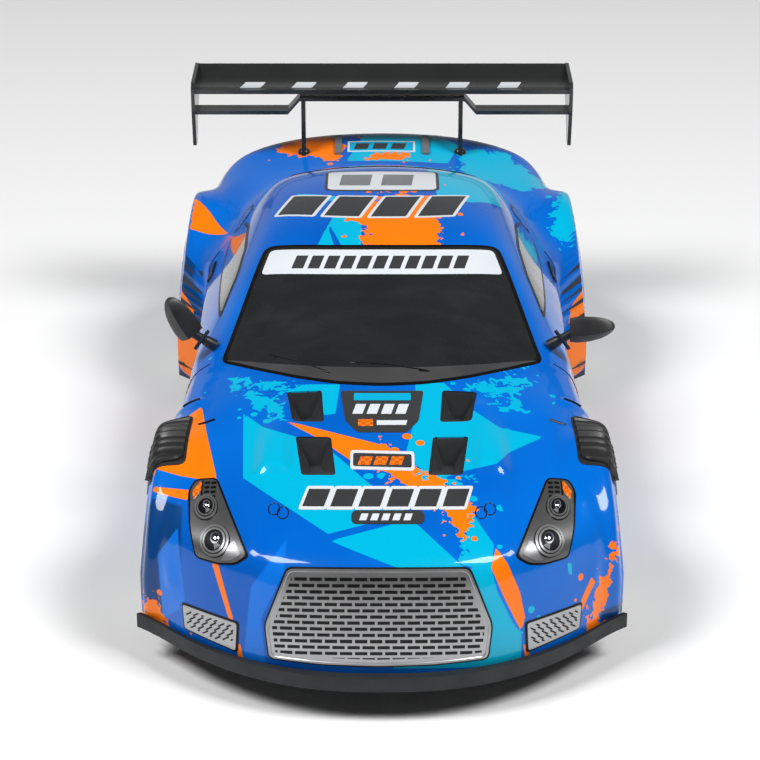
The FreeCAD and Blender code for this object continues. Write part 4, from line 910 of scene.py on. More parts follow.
def build_vents():
    """Funnels below the bonnet openings: shallow in front and deep behind."""
    rings = ((0, 0), (0.12, 0), (0.45, 0), (0.8, 0), (1, 0), (1, 0.8), (0.45, 0.8), (0, 0.8))
    last_inner = 4
    for name, corners in VENTS:
        outline = rounded(corners, 1.2)
        middle = np.mean(corners, 0)
        front, rear = (pick(point[1] for point in corners) for pick in (min, max))
        skin_z = land("top", outline)[0][:, 2]
        rearward = (outline[:, 1] - front) / (rear - front)
        points = []
        for share, wall in rings:
            narrow = (1 - 0.62 * share**1.5, 1 - 0.35 * share)
            ring = grown(middle + (outline - middle) * narrow, wall) + (0, 1.5 * share)
            depth = 0.4 + share * (1.0 + 6.5 * rearward) + 0.7 * wall * (share > 0.9)
            points.append(np.column_stack([ring, skin_z - depth]))
        count = len(outline)
        pairs = [(i, i + 1) for i in range(len(rings) - 1) if i != last_inner] + [(len(rings) - 1, 0)]
        faces = [[i * count + k, i * count + (k + 1) % count, j * count + (k + 1) % count, j * count + k]
                 for i, j in pairs for k in range(count)]
        faces.append([last_inner * count + k for k in range(count)])
        faces.append([(last_inner + 1) * count + k for k in range(count)][::-1])
        piece(f"bonnet_vent_{name}", np.concatenate(points), faces, CHARCOAL, "black_satin")


# ---------------------------------------------------------------- glazing
# Outlines are in plan, drawn before the windscreen's curve across the car bends them.
SCREEN_CURVE = 0.0062
SCREEN = ((-44, -48.3), (-30, -49.8), (-15, -50.5), (0, -50.7), (15, -50.5), (30, -49.8), (44, -48.3),
          (33, -5.8), (-33, -5.8))
COWL_EDGE = ((-44, -48.4), (-36, -51.2), (-24, -54.4), (-12, -56.4), (0, -57), (12, -56.4), (24, -54.4),
             (36, -51.2), (44, -48.4))
SUN_STRIP = ((-34.8, -17.1), (34.8, -17.1), (32.3, -7), (-32.3, -7))
REAR_SCREEN = ((-33, 97), (33, 97), (27.5, 64), (-27.5, 64))
SIDE_WINDOW = ((-12, 59.2), (48, 59.6), (45, 65.4), (32, 69), (14, 69.2), (1, 66.2))
QUARTER_WINDOW = ((52.5, 60.2), (71, 60.8), (63, 64.6), (51.4, 67.2))


def slanted_bars(start, end, low, high, count, gap, slant):
    """Equal slanted bars in a row."""
    pitch = (end - start) / count
    bars = []
    for i in range(count):
        left = start + i * pitch
        bars.append(((left, low), (left + pitch - gap, low), (left + pitch - gap + slant, high),
                     (left + slant, high)))
    return bars


def build_glazing():
    surround = COWL_EDGE + ((33, -5.8), (-33, -5.8))
    curved = {"step": 1.5, "bend": SCREEN_CURVE}
    prints("top", "black_gloss", (
        ("windscreen_surround", [rounded(grown(surround, 1.3), 3)], OUTLINE, 0.08),
        ("windscreen_cowl", [rounded(COWL_EDGE, 1)], COWL, 0.13),
        ("windscreen_glass", [rounded(SCREEN, 2.5)], GLASS, 0.18)), **curved)
    bars = slanted_bars(-26, 25, -15, -9.8, 11, 1.3, 1.5)
    prints("top", "printed_body", (
        ("windscreen_sun_strip", [rounded(SUN_STRIP, 1.6)], PALE_PRINT, 0.24),
        ("windscreen_sun_strip_bars", bars, CHARCOAL, 0.29)), **curved)
    wipers = [path_on("top", rounded(arm, 6), 1.5, 0.3, bend=SCREEN_CURVE) for arm in (
        ((-12, -54), (-22, -49), (-34, -45.5)), ((16, -53), (2, -49.5), (-12, -48.5)))]
    tubes("windscreen_wipers", wipers, 0.16, OUTLINE, "black_gloss")

    prints("top", "black_gloss", (
        ("rear_screen_surround", [rounded(grown(REAR_SCREEN, 1.4), 4)], OUTLINE, 0.08),
        ("rear_screen_glass", [rounded(REAR_SCREEN, 3)], GLASS, 0.16)), step=2)
    for side, _ in SIDES:
        for name, outline in (("side", SIDE_WINDOW), ("quarter", QUARTER_WINDOW)):
            plates(f"{name}_window_surround_{side}", side, [rounded(grown(outline, 1.0), 3)], OUTLINE,
                   "black_gloss", 0.08, step=1.6)
            plates(f"{name}_window_glass_{side}", side, [rounded(outline, 2.2)], SIDE_GLASS, "black_gloss",
                   0.15, step=1.6)


# ---------------------------------------------------------------- front graphics and lamps
GRILLE_X = -0.9
GRILLE = ((-27.4, -70), (-14, -71.2), (0, -71.6), (14, -71.2), (27.4, -70), (28.3, -61.5), (22.6, -47.2),
          (-22.6, -47.2), (-28.3, -61.5))
GRILLE_ROWS, GRILLE_COLUMNS, GRILLE_TOP, GRILLE_LEFT, GRILLE_PITCH = 14, 18, -49.2, -33, 1.56
DASH_LENGTH, DASH_PITCH, DASH_HEIGHT = 3.1, 3.75, 0.82
HEADLAMP = ((34, -44.2), (37, -46.1), (41.2, -46.2), (47.1, -44.8), (48.9, -37.4), (49.8, -29), (48.4, -26.4),
            (43.3, -26.1))
LAMPS = ((45.2, -33.1, 3.15), (42.3, -41.0, 4.0))
HATCH_ROWS, HATCH_COLUMNS, HATCH_TOP, HATCH_X = 12, range(-8, 9), -53.6, 41.5
HATCH_PITCH, HATCH_DROP, HATCH_LENGTH, HATCH_SLANT, HATCH_HEIGHT = 2.2, 1.15, 1.7, 0.85, 0.5
FOG_LAMP = ((37.1, -68.7), (50.6, -63.8), (51, -57.6), (36.6, -61.6))


def circle(u, v, radius, parts=28):
    return [(u + radius * math.cos(2 * math.pi * k / parts), v + radius * math.sin(2 * math.pi * k / parts))
            for k in range(parts)]


def clipped(outline, window):
    """The part of a convex outline inside a convex window, or None."""
    window = np.array(window, float)
    if signed_area(window) < 0:
        window = window[::-1]
    points = [np.array(point, float) for point in outline]
    for start, end in zip(window, np.roll(window, -1, 0)):
        way = end - start
        height = [way[0] * (p[1] - start[1]) - way[1] * (p[0] - start[0]) for p in points]
        kept = []
        for i, point in enumerate(points):
            before, after = height[i - 1], height[i]
            if (before < 0) != (after < 0):
                kept.append(points[i - 1] + (point - points[i - 1]) * before / (before - after))
            if after >= 0:
                kept.append(point)
        points = kept
        if len(points) < 3:
            return None
    return points if abs(signed_area(points)) > 0.15 else None


def build_grille():
    outline = [(u + GRILLE_X, v) for u, v in GRILLE]
    plates("grille_outline", "slope", [rounded(grown(outline, 0.55), 1.6)], OUTLINE, "black_gloss", 0.1)
    plates("grille_panel", "slope", [rounded(outline, 1.4)], SILVER_FILM, "rim_silver", 0.45)
    window = grown(outline, -1.7)
    dashes = []
    for row in range(GRILLE_ROWS):
        v = GRILLE_TOP - row * GRILLE_PITCH
        start = GRILLE_LEFT + (DASH_PITCH / 2 if row % 2 else 0)
        for k in range(GRILLE_COLUMNS):
            u = start + k * DASH_PITCH
            end, foot = u + DASH_LENGTH, v - DASH_HEIGHT
            dash = clipped([(u, foot), (end, foot), (end, v), (u, v)], window)
            if dash:
                dashes.append(dash)
    plates("grille_slots", "slope", dashes, OUTLINE, "black_gloss", 0.5, 0.2, 2.0)
    bead = path_on("slope", rounded(grown(outline, -0.5), 1.4), 0.8, 0.45, closed=True)
    tubes("grille_rim_bead", [bead], 0.28, SILVER_FILM, "rim_silver", closed=True)


def build_headlamps():
    for side, sign in SIDES:
        flip = (lambda outline: list(outline)) if sign > 0 else mirrored
        plates(f"headlamp_outline_{side}", "slope", [rounded(grown(flip(HEADLAMP), 0.55), 1.3)], OUTLINE,
               "black_gloss", 0.12)
        plates(f"headlamp_panel_{side}", "slope", [rounded(flip(HEADLAMP), 1.1)], DULL_SILVER,
               "rim_silver", 0.4)
        corner = flip(((35.2, -44), (38.3, -45.6), (40.6, -45.6), (38.2, -41.6), (37.2, -40.8)))
        plates(f"headlamp_clear_corner_{side}", "slope", [rounded(corner, 0.7)], SILVER_FILM, "rim_silver",
               0.55)
        reflector = flip(((47.4, -26.9), (49.2, -29.3), (48.7, -31.2), (46.7, -28.8), (46.7, -26.9)))
        plates(f"headlamp_reflector_{side}", "slope", [rounded(reflector, 0.4)], ORANGE_PRINT, "knob_red",
               0.62)
        ribs = [flip(((u, v), (u + 1.3, v - 0.1), (u + 1.2, v - 0.62), (u - 0.1, v - 0.52)))
                for u in (43.1, 44.8) for v in (-26.8, -27.9, -29.0, -30.1)]
        plates(f"headlamp_ribs_{side}", "slope", ribs, OUTLINE, "black_gloss", 0.55, 0.2)
        for k, (u, v, radius) in enumerate(LAMPS):
            name = f"headlamp_{'upper' if k == 0 else 'lower'}"
            for part, size, lift, material in (
                    ("seat", 1.0, 0.5, OUTLINE), ("rim", 0.94, 0.8, SILVER_FILM),
                    ("gap", 0.78, 0.85, OUTLINE), ("ring", 0.72, 1.0, SILVER_FILM),
                    ("well", 0.6, 1.05, OUTLINE)):
                plates(f"{name}_{part}_{side}", "slope", [circle(u * sign, v, radius * size)], material,
                       "rim_silver", lift, 0.3, 0.8)
            wedge = [(u + radius * du, v + radius * dv)
                     for du, dv in ((0.0, -0.05), (-0.1, -0.54), (-0.48, -0.3))]
            plates(f"{name}_glint_{side}", "slope", [flip(wedge)], GREY_PRINT, "rim_silver", 1.1, 0.3, 0.8)
            middle = (u - 0.08 * radius) * sign, v + 0.12 * radius

            def dome(uv, middle=middle, reach=0.32 * radius):
                return 0.7 * np.sqrt(np.clip(1 - ((uv - middle) ** 2).sum(1) / reach**2, 0, 1))

            plates(f"{name}_bulb_{side}", "slope", [circle(*middle, radius * 0.32)], CHROME, "rim_silver",
                   1.12, 0.3, 0.3, relief=dome)
        bar = flip(((46.5, -26.6), (46.85, -26.6), (46.9, -30.0), (46.5, -30.3)))
        plates(f"headlamp_divider_{side}", "slope", [bar], OUTLINE, "black_gloss", 0.66)


def build_fog_lamps():
    for side, sign in SIDES:
        quad = FOG_LAMP if sign > 0 else mirrored(FOG_LAMP)
        plates(f"fog_lamp_outline_{side}", "slope", [rounded(grown(quad, 0.5), 0.9)], OUTLINE,
               "black_gloss", 0.1)
        plates(f"fog_lamp_panel_{side}", "slope", [rounded(quad, 0.7)], SILVER_FILM, "rim_silver", 0.4)
        window = grown(quad, -0.8)
        hatch = []
        for row in range(HATCH_ROWS):
            v = HATCH_TOP - HATCH_DROP * row
            for column in HATCH_COLUMNS:
                u = HATCH_X * sign + HATCH_PITCH * column + HATCH_PITCH / 2 * (row % 2)
                end_u, end_v = u + HATCH_LENGTH, v - HATCH_SLANT * sign
                dash = clipped(((u, v), (end_u, end_v), (end_u, end_v + HATCH_HEIGHT), (u, v + HATCH_HEIGHT)),
                               window)
                if dash:
                    hatch.append(dash)
        plates(f"fog_lamp_hatch_{side}", "slope", hatch, OUTLINE, "black_satin", 0.46, 0.2, 3.0)


def build_bonnet_graphics():
    """Plain printed shapes without lettering."""
    plate = ((-11.3, -3), (11.3, -3), (9.8, -11), (6.5, -14), (-6.5, -14), (-9.8, -11))
    badge = ((-8, -18.8), (8.2, -19.2), (8.2, -23.4), (-8, -23))
    bars = slanted_bars(-20.4, 22.6, -32.4, -28.2, 6, 1.6, 1.6)
    pill = ((-7.8, -33.3), (10.8, -33.3), (10.8, -36.5), (-7.8, -36.5))
    prints("slope", "printed_body", (
        ("bonnet_plate", [rounded(plate, 0.8)], CHARCOAL, 0.12),
        ("bonnet_plate_band", [((-7.6, -3.7), (7.8, -3.7), (7.8, -5.6), (-7.6, -5.6))], CYAN_PRINT, 0.17),
        ("bonnet_plate_bars", slanted_bars(-8, 7.4, -9.2, -6.6, 4, 1.1, 1.0), PALE_PRINT, 0.17),
        ("bonnet_plate_chip", [((-6.4, -12.4), (-2.4, -12.4), (-2.4, -10.6), (-6.4, -10.6))], ORANGE_PRINT,
         0.17),
        ("bonnet_plate_line", [((-1.4, -12.1), (6.4, -12.1), (6.8, -10.9), (-1.4, -10.9))], PALE_PRINT, 0.17),
        ("bonnet_badge_border", [rounded(grown(badge, 0.3), 0.9)], PALE_PRINT, 0.14),
        ("bonnet_badge", [rounded(grown(badge, -0.45), 0.6)], CHARCOAL, 0.19),
        ("bonnet_badge_bars", slanted_bars(-6.4, 5.9, -22.3, -20.2, 3, 0.8, 0.8), ORANGE_PRINT, 0.24),
        ("bonnet_band_border", [rounded(grown(bar, 0.75), 0.7) for bar in bars], PALE_PRINT, 0.14),
        ("bonnet_band_bars", bars, CHARCOAL, 0.19),
        ("bonnet_pill", [rounded(pill, 1.6)], CHARCOAL, 0.16),
        ("bonnet_pill_bars", slanted_bars(-5.8, 8.2, -35.7, -34.1, 5, 1.0, 0.6), PALE_PRINT, 0.21)))
    for side, sign in SIDES:
        rings = [path_on("slope", circle(sign * u, v, 1.45, 20), 0.5, 0.06, closed=True)
                 for u, v in ((25.3, -33.9), (27.6, -33.0))]
        tubes(f"bonnet_pin_marks_{side}", rings, 0.14, OUTLINE, "black_gloss", closed=True, around=6)


ROOF_CURVE = 0.0088


def build_roof_and_boot_graphics():
    panel = ((-16.5, 32.5), (16.5, 32.5), (16.5, 51.5), (-16.5, 51.5))
    bars = slanted_bars(-31, 24.5, 12, 26.5, 4, 3.6, 4.5)
    prints("top", "printed_body", (
        ("roof_panel_border", [rounded(grown(panel, 0.9), 2.4)], CHARCOAL, 0.1),
        ("roof_panel", [rounded(panel, 2)], PALE_PRINT, 0.15),
        ("roof_panel_stripes", slanted_bars(-13, 12.4, 36.5, 47.5, 2, 3.4, 0.8), GREY_PRINT, 0.2),
        ("roof_band_border", [rounded(grown(bar, 1.0), 1) for bar in bars], PALE_PRINT, 0.12),
        ("roof_band_bars", bars, CHARCOAL, 0.17)), step=1.5, bend=ROOF_CURVE)
    badge = ((-11.6, 119.5), (11.2, 119.5), (11.2, 127), (-11.6, 127))
    prints("top", "printed_body", (
        ("boot_plate_border", [badge], PALE_PRINT, 0.12),
        ("boot_plate", [grown(badge, -0.7)], CYAN_PRINT, 0.17),
        ("boot_plate_bars", slanted_bars(-9.5, 9, 121.2, 125.2, 3, 1.6, 0.8), CHARCOAL, 0.22)), step=2)
    for side, sign in SIDES:
        rail = [(14.7 * sign + u, v) for u, v in ((-1.2, 117.4), (1.2, 117.4), (1.2, 130.6), (-1.2, 130.6))]
        plates(f"boot_rail_{side}", "top", [rounded(rail, 0.8)], GREY_PRINT, "black_gloss", 0.9, step=1)


# ---------------------------------------------------------------- fenders, flanks and tail
# The louvres keep outside this radius round the front axle, so the steered tyres clear them.
WHEEL_ROOM = 23.3


def build_fender_parts():
    for side, sign in SIDES:
        lowest, highest = (np.array(corner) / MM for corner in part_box(f"fender_louvre_{side}"))
        inner, outer = sorted((abs(lowest[0]), abs(highest[0])))
        front, rear = lowest[1] + 0.6, highest[1] - 0.6
        slat = (rear - front) / 7

        def slats(uv, front=front, slat=slat):
            share = ((uv[:, 1] - front) / slat) % 1
            return 1.0 * smooth_step(share, 0, 0.3) * (1 - 0.85 * smooth_step(share, 0.45, 0.95))

        corners = ((inner + 0.9, front + 0.8), (outer - 1.2, front), (outer - 1.2, rear), (inner + 0.3, rear))
        outline = [(sign * u, v) for u, v in corners]
        parts = [plate_mesh("top", rounded(outline, 2.2), 0.25, 0.5, 0.5, slats)]
        skirt = [(sign * u, v) for u, v in ((inner, front - 0.6), (outer - 0.8, front - 0.8),
                                            (outer - 0.8, rear + 0.6), (inner - 0.4, rear + 0.6))]
        parts.append(plate_mesh("top", rounded(skirt, 2.6), 0.16, 0.5, 1.0))
        points, faces = joined(parts)
        hub = sum(np.array(corner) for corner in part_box(f"front_tyre_{side}"))[1:] / 2 / MM
        away = points[:, 1:] - hub
        points[:, 1:] = hub + away * np.maximum(1, WHEEL_ROOM / np.linalg.norm(away, axis=1))[:, None]
        piece(f"fender_louvre_slats_{side}", points, faces, BLACK_SATIN, "black_satin",
              replaces=(f"fender_louvre_{side}",))
        slits = [path_on("top", ((sign * a[0], a[1]), (sign * b[0], b[1])), 0.8, 0.05) for a, b in (
            ((50, -56), (54.6, -55)), ((45.2, -68.8), (49.4, -71.2)))]
        tubes(f"fender_gill_slits_{side}", slits, 0.38, OUTLINE, "black_gloss")


DOOR_LINE = ((-34, 56), (-36, 42), (-32, 20), (-22, 16), (36, 18), (44, 30), (50, 44), (52, 57))
SILL_LINE = ((-50, 15.5), (-20, 14.2), (20, 14.2), (52, 15.5))


def build_flank_details():
    for side, _ in SIDES:
        tubes(f"door_seam_{side}", [path_on(side, rounded(DOOR_LINE, 3)[4:-4], 2, -0.02)], 0.2, OUTLINE,
              "black_gloss")
        handle = ((34, 50.2), (46, 50.8), (46, 53), (34, 52.6))
        plates(f"door_handle_{side}", side, [rounded(handle, 0.9)], OUTLINE, "black_gloss", 0.5, step=0.8)
        vent = ((-52, 28), (-44, 31), (-42, 44), (-49, 42))
        plates(f"fender_vent_{side}", side, [rounded(vent, 1.2)], CHARCOAL, "black_satin", 0.15)
        bars = [((-50.6 + 0.5 * k, 30.5 + 2.6 * k), (-43.8 + 0.3 * k, 32.6 + 2.5 * k),
                 (-43.8 + 0.3 * k, 33.6 + 2.5 * k), (-50.6 + 0.5 * k, 31.5 + 2.6 * k)) for k in range(4)]
        plates(f"fender_vent_bars_{side}", side, bars, SILVER_FILM, "rim_silver", 0.4)
        tubes(f"sill_seam_{side}", [path_on(side, SILL_LINE, 2, 0.0)], 0.25, OUTLINE, "black_gloss")


def build_tail():
    for side, sign in SIDES:
        housing = [(sign * u, v) for u, v in ((33, 40), (52, 41), (54, 46), (52, 50.5), (34, 50))]
        plates(f"tail_lamp_housing_{side}", "tail", [rounded(housing, 1.8)], OUTLINE, "black_gloss", 0.3)
        for k, (u, radius) in enumerate(((39, 4.0), (48, 3.6))):
            def bulge(uv, u=u * sign, radius=radius):
                away = np.hypot(uv[:, 0] - u, uv[:, 1] - 45.5) / radius
                return 0.9 * np.sqrt(np.clip(1 - away**2, 0, 1)) - 0.35 * (away < 0.35)

            plates(f"tail_lamp_ring_{k}_{side}", "tail", [circle(u * sign, 45.5, radius + 0.45)], SILVER_FILM,
                   "rim_silver", 0.7, step=1.0)
            plates(f"tail_lamp_lens_{k}_{side}", "tail", [circle(u * sign, 45.5, radius)], RED_LENS,
                   "knob_red", 0.8, step=0.5, relief=bulge)
        reflector = [(sign * u, v) for u, v in ((30, 22), (46, 23.5), (45, 27), (30, 26))]
        plates(f"tail_reflector_{side}", "tail", [rounded(reflector, 1)], RED_LENS, "knob_red", 0.4)
        outlet = [(sign * u, v) for u, v in ((31, 14), (43, 15), (42, 19.5), (31, 19.5))]
        plates(f"tail_outlet_{side}", "tail", [rounded(outlet, 1.5)], DULL_SILVER, "rim_silver", 0.5)
        plates(f"tail_outlet_bore_{side}", "tail", [rounded(grown(outlet, -1.0), 1.0)], OUTLINE,
               "black_gloss", 0.6)
    plates("tail_panel_outline", "tail", [rounded(((-17, 23), (17, 23), (18, 37), (-18, 37)), 1.5)], OUTLINE,
           "black_gloss", 0.3)
    plates("tail_panel", "tail", [rounded(((-13, 25), (13, 25), (13, 34.5), (-13, 34.5)), 1)], PALE_PRINT,
           "printed_body", 0.6)
    seam = path_on("tail", ((-34, 53.5), (-28, 39.5), (28, 39.5), (34, 53.5)), 1.5, -0.02)
    tubes("boot_seam", [seam], 0.2, OUTLINE, "black_gloss")


# ---------------------------------------------------------------- mirrors, wing and tyres
MIRROR_HALF, MIRROR_GLASS_HALF, MIRROR_SWEEP = 4.0, 3.3, 0.7


def mirror_width(share):
    """Half the width of a mirror head, as a share of the widest, from its cut base to its tip."""
    taper = math.sqrt(max(1 - over(share, 0.12) ** 2.3 / 0.88**2.3, 1e-4))
    return 0.92 + 0.08 * smooth_step(share, 0, 0.18) - 1 + taper


def build_mirrors():
    """Leaf-shaped mirror heads with a ridge along their fronts, on round stalks with a cross bar."""
    rings, around = 26, 32
    for side, sign in SIDES:
        tilt = math.radians(MIRROR_TILT[side])
        way = np.array((math.cos(tilt) * sign, 0, math.sin(tilt)))
        across = np.array((-math.sin(tilt) * sign, 0, math.cos(tilt)))
        joint = np.array((MIRROR_JOINT[0] * sign, *MIRROR_JOINT[1:]))
        base = np.array((MIRROR_BASE[0] * sign, *MIRROR_BASE[1:]))
        start = joint + way * (MIRROR_OUT - MIRROR_REACH)
        points = []
        for i in range(rings):
            share = math.sin(math.pi / 2 * i / (rings - 1))
            width = mirror_width(share) * MIRROR_HALF
            for k in range(around):
                angle = 2 * math.pi * k / around
                u, v = math.cos(angle), math.sin(angle)
                ridge = 1 - abs(u + 0.18) / (1.18 if u > -0.18 else 0.82)
                deep = 2.9 * ridge**0.75 if v > 0 else 0.9 * (1 - u**4)
                deep *= (width / MIRROR_HALF) ** 0.7
                sweep = MIRROR_SWEEP * share**2
                point = start + way * 2 * MIRROR_REACH * share + across * (width * u + sweep)
                points.append(point - np.array((0, (deep if v > 0 else -deep) - 0.7, 0)))
        faces = [[i * around + k, i * around + (k + 1) % around, (i + 1) * around + (k + 1) % around,
                  (i + 1) * around + k] for i in range(rings - 1) for k in range(around)]
        faces += [list(range(around))[::-1], [(rings - 1) * around + k for k in range(around)]]
        if sign < 0:
            faces = [face[::-1] for face in faces]
        lean = (joint - base) / np.linalg.norm(joint - base)
        stalk = [base + (joint - base) * t for t in np.linspace(-0.1, 1.15, 12)]
        parts = [(np.array(points), faces), tube_mesh(stalk, np.linspace(1.35, 1.2, 12), around=16)]
        piece(f"mirror_head_{side}", *joined(parts), BLACK_SATIN, "black_satin", f"mirror_{side}", sharp=40,
              replaces=(f"mirror_housing_{side}",))
        shares = np.linspace(0.05, 0.93, 14)
        edge = [(share, mirror_width(share) * MIRROR_GLASS_HALF) for share in shares]
        edge += [(share, -width) for share, width in reversed(edge)]
        back = np.array([start + way * 2 * MIRROR_REACH * share + across * (width + MIRROR_SWEEP * share**2)
                         for share, width in edge]) + (0, 1.35, 0)
        sheet = thick_sheet(back + (0, 0.3, 0), back, [list(range(len(back)))])
        piece(f"mirror_glass_{side}", *sheet, CHROME, "rim_silver", f"mirror_{side}")
        root = turned_mesh([(0, -3.2), (1.7, -3.2), (1.6, -0.6), (1.45, 0.1), (0, 0.1)], base, lean, 28)
        upright = np.array((-lean[2], 0, lean[0])) / math.hypot(lean[0], lean[2])
        middle = base + lean * 1.1 - (0, 1.0, 0)
        cross_bar = tube_mesh([middle + upright * t for t in np.linspace(-3.4, 3.4, 9)], 0.5, around=12)
        piece(f"mirror_root_{side}", *joined([root, cross_bar]), BLACK_SATIN, "black_satin",
              replaces=(f"mirror_base_{side}",))


UPRIGHT_AT = (26.3, 121)


def build_wing_bars():
    """Six plain bars along the wing's front half."""
    wing = frame["nodes"]["wing_main_plane"]
    tree = BVHTree.FromPolygons([vertex.co for vertex in wing.data.vertices],
                                [polygon.vertices[:] for polygon in wing.data.polygons])
    parts = []
    for bar in slanted_bars(-47.5, 55.7, 122.6, 128.6, 6, 10.5, 1.6):
        uv, faces = clip_grid(bar, 1.0)
        top = [tree.ray_cast(Vector((u * MM, v * MM, 0.2)), Vector((0, 0, -1)))[0] / MM for u, v in uv]
        top = np.array([tuple(point) for point in top])
        parts.append(thick_sheet(top + (0, 0, 0.12), top - (0, 0, 0.2), faces))
    piece("wing_bars", *joined(parts), PALE_PRINT, "black_gloss")


def build_upright_collars():
    """A low dark boot where each wing upright meets the deck."""
    for side, sign in SIDES:
        seat = land("top", np.array([(UPRIGHT_AT[0] * sign, UPRIGHT_AT[1])]))[0][0]
        collar = [(0, -0.8), (2.1, -0.8), (2.1, 0.3), (1.75, 0.9), (1.3, 1.3), (0, 1.3)]
        piece(f"wing_collar_{side}", *turned_mesh(collar, seat, (0, 0, 1), 28), BLACK_GLOSS, "black_gloss")


TREAD_BLOCKS = 36
TREAD_DEPTH = 0.8
TYRE_SIDE = 5.45


def build_tyres():
    """Low tyres with rounded shoulders, raised rings on their sides and a slanted tread."""
    around = 288
    for end in ("front", "rear"):
        for side, sign in SIDES:
            node = f"{end}_tyre_{side}"
            low, high = (np.array(corner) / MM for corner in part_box(node))
            middle, half, outer = (low + high) / 2, (high[0] - low[0]) / 2, (high[2] - low[2]) / 2
            seat = outer - TYRE_SIDE
            wall = [(-0.86, seat), (-0.93, seat + 0.25), (-0.965, seat + 1.0), (-0.955, seat + 1.25),
                    (-0.99, seat + 1.9),
                    (-1.0, seat + 2.8), (-0.985, seat + 3.4), (-0.995, seat + 3.7), (-0.975, outer - 1.1),
                    (-0.94, outer - 0.55), (-0.885, outer - 0.22)]
            tread = [(u, outer - 0.12 * u * u) for u in np.linspace(-0.82, 0.82, 29)]
            profile = wall + tread + [(-u, r) for u, r in reversed(wall)]
            place = np.array(profile)
            angle = np.linspace(0, 2 * math.pi, around, endpoint=False)[:, None]
            u = place[None, :, 0]
            phase = (angle * TREAD_BLOCKS / (2 * math.pi) + abs(u) * 0.9 * sign) % 1
            cross = smooth_step(abs(phase - 0.5), 0.10, 0.17)
            rings = 1 - smooth_step(-abs(abs(u) - 0.34), -0.07, -0.04)
            blocks = np.minimum(cross + (abs(u) < 0.12), rings)
            crown = (abs(u) <= 0.9) & (place[None, :, 1] > outer - 1)
            depth = TREAD_DEPTH * (1 - np.clip(blocks, 0, 1)) * crown
            radius = place[None, :, 1] - depth
            points = np.stack([middle[0] + u * half + 0 * angle, middle[1] + radius * np.cos(angle),
                               middle[2] + radius * np.sin(angle)], -1).reshape(-1, 3)
            count = len(profile)
            faces = [[i * count + k, i * count + (k + 1) % count,
                      ((i + 1) % around) * count + (k + 1) % count,
                      ((i + 1) % around) * count + k] for i in range(around) for k in range(count)]
            body = "rear_axle_set" if end == "rear" else f"front_wheel_{side}"
            piece(f"{node}_treaded", points, [face[::-1] for face in faces], FINISHES["tyre_rubber"],
                  "tyre_rubber", body, replaces=(node,))


# ---------------------------------------------------------------- studio
def studio_material():
    shader = Shader("studio_floor")
    shader.wire("Base Color", shader.mix(shader.noise(400, 2), (0.93, 0.93, 0.93), (0.95, 0.95, 0.95)))
    shader.surface.inputs["Roughness"].default_value = 0.6
    return shader.material


def soft_light(name, place, target, size, power):
    data = bpy.data.lights.new(name, "AREA")
    data.shape, data.size, data.energy = "SQUARE", size, power
    obj = bpy.data.objects.new(name, data)
    obj.location = place
    obj.rotation_euler = (Vector(place) - Vector(target)).to_track_quat("Z", "Y").to_euler()
    bpy.context.scene.collection.objects.link(obj)


# The world's brightness at the horizon and overhead, and how much a low glow behind the car adds.
HORIZON, CEILING, GLOW = 1.1, 0.42, 6.0
FLOOR_REACH = 4.0


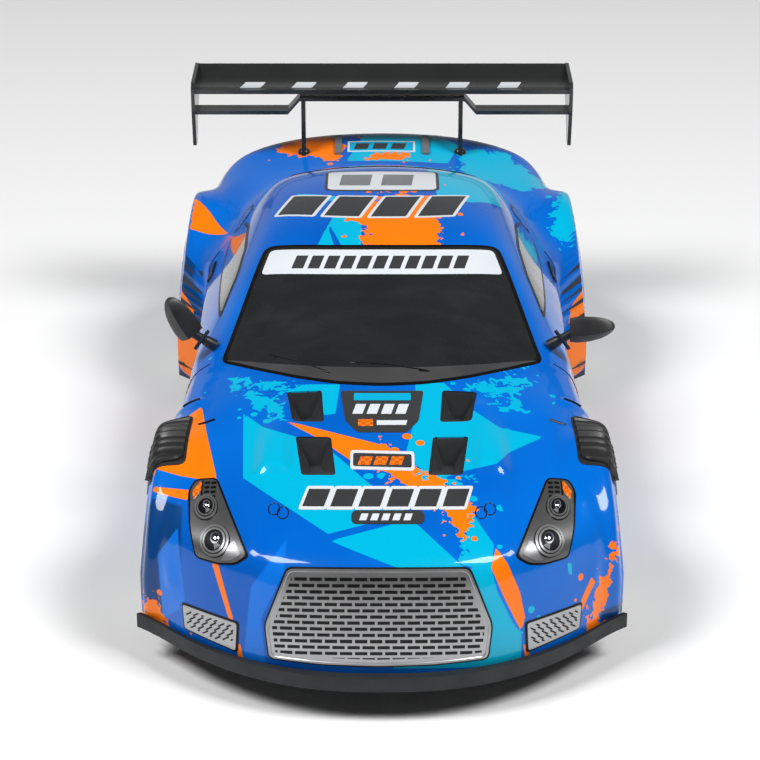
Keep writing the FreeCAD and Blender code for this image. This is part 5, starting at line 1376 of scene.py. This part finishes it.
def build_studio():
    mesh = bpy.data.meshes.new("studio_floor")
    corners = [(x * FLOOR_REACH, y * FLOOR_REACH, 0) for x, y in ((-1, -1), (1, -1), (1, 1), (-1, 1))]
    mesh.from_pydata(corners, [], [(0, 1, 2, 3)])
    mesh.materials.append(studio_material())
    floor = bpy.data.objects.new("studio_floor", mesh)
    bpy.context.scene.collection.objects.link(floor)
    world = bpy.data.worlds.new("studio")
    bpy.context.scene.world = world
    world.use_nodes = True
    nodes, links = world.node_tree.nodes, world.node_tree.links
    way = nodes.new("ShaderNodeTexCoord").outputs["Generated"]
    split, strength = nodes.new("ShaderNodeSeparateXYZ"), nodes.new("ShaderNodeMath")
    links.new(way, split.inputs[0])
    fades = []
    for axis, low, high, at_low, at_high in (("Z", 0.4, 0.85, HORIZON, CEILING), ("Z", 0.22, 0.58, GLOW, 0),
                                             ("Y", 0.1, 0.8, 0, 1)):
        fade = nodes.new("ShaderNodeMapRange")
        links.new(split.outputs[axis], fade.inputs["Value"])
        for socket, value in (("From Min", low), ("From Max", high), ("To Min", at_low), ("To Max", at_high)):
            fade.inputs[socket].default_value = value
        fades.append(fade.outputs[0])
    strength.operation = "MULTIPLY_ADD"
    for socket, value in zip(strength.inputs, (fades[1], fades[2], fades[0])):
        links.new(value, socket)
    links.new(strength.outputs[0], nodes["Background"].inputs["Strength"])
    target = (0, 0, 0.04)
    for side, sign in SIDES:
        soft_light(f"key_{side}", (0.8 * sign, -0.45, 1.3), target, 0.55, 18)
    bpy.context.scene.view_settings.view_transform = "Standard"


# The lens is named by its focal length in pixels of a frame FRAME_WIDTH wide.
AIM = Vector((0, -0.005, 0.035))
CAMERA_RISE = math.radians(24)
CAMERA_DISTANCE = 0.740
FRAME_WIDTH, FOCAL_PIXELS, SENSOR = 760, 2500, 36
SHIFT_PIXELS = -2


def build_camera():
    data = bpy.data.cameras.new("camera")
    data.sensor_width = SENSOR
    data.lens = SENSOR * FOCAL_PIXELS / FRAME_WIDTH
    data.shift_x = SHIFT_PIXELS / FRAME_WIDTH
    data.clip_start, data.clip_end = 0.05, 50
    camera = bpy.data.objects.new("camera", data)
    back = Vector((0, -math.cos(CAMERA_RISE), math.sin(CAMERA_RISE)))
    camera.location = AIM + back * CAMERA_DISTANCE
    camera.rotation_euler = back.to_track_quat("Z", "Y").to_euler()
    bpy.context.scene.collection.objects.link(camera)
    bpy.context.scene.camera = camera


finish_frame_nodes()
build_shell()
build_vents()
build_glazing()
build_grille()
build_headlamps()
build_fog_lamps()
build_bonnet_graphics()
build_roof_and_boot_graphics()
build_fender_parts()
build_flank_details()
build_tail()
build_mirrors()
build_wing_bars()
build_upright_collars()
build_tyres()
build_studio()
build_camera()
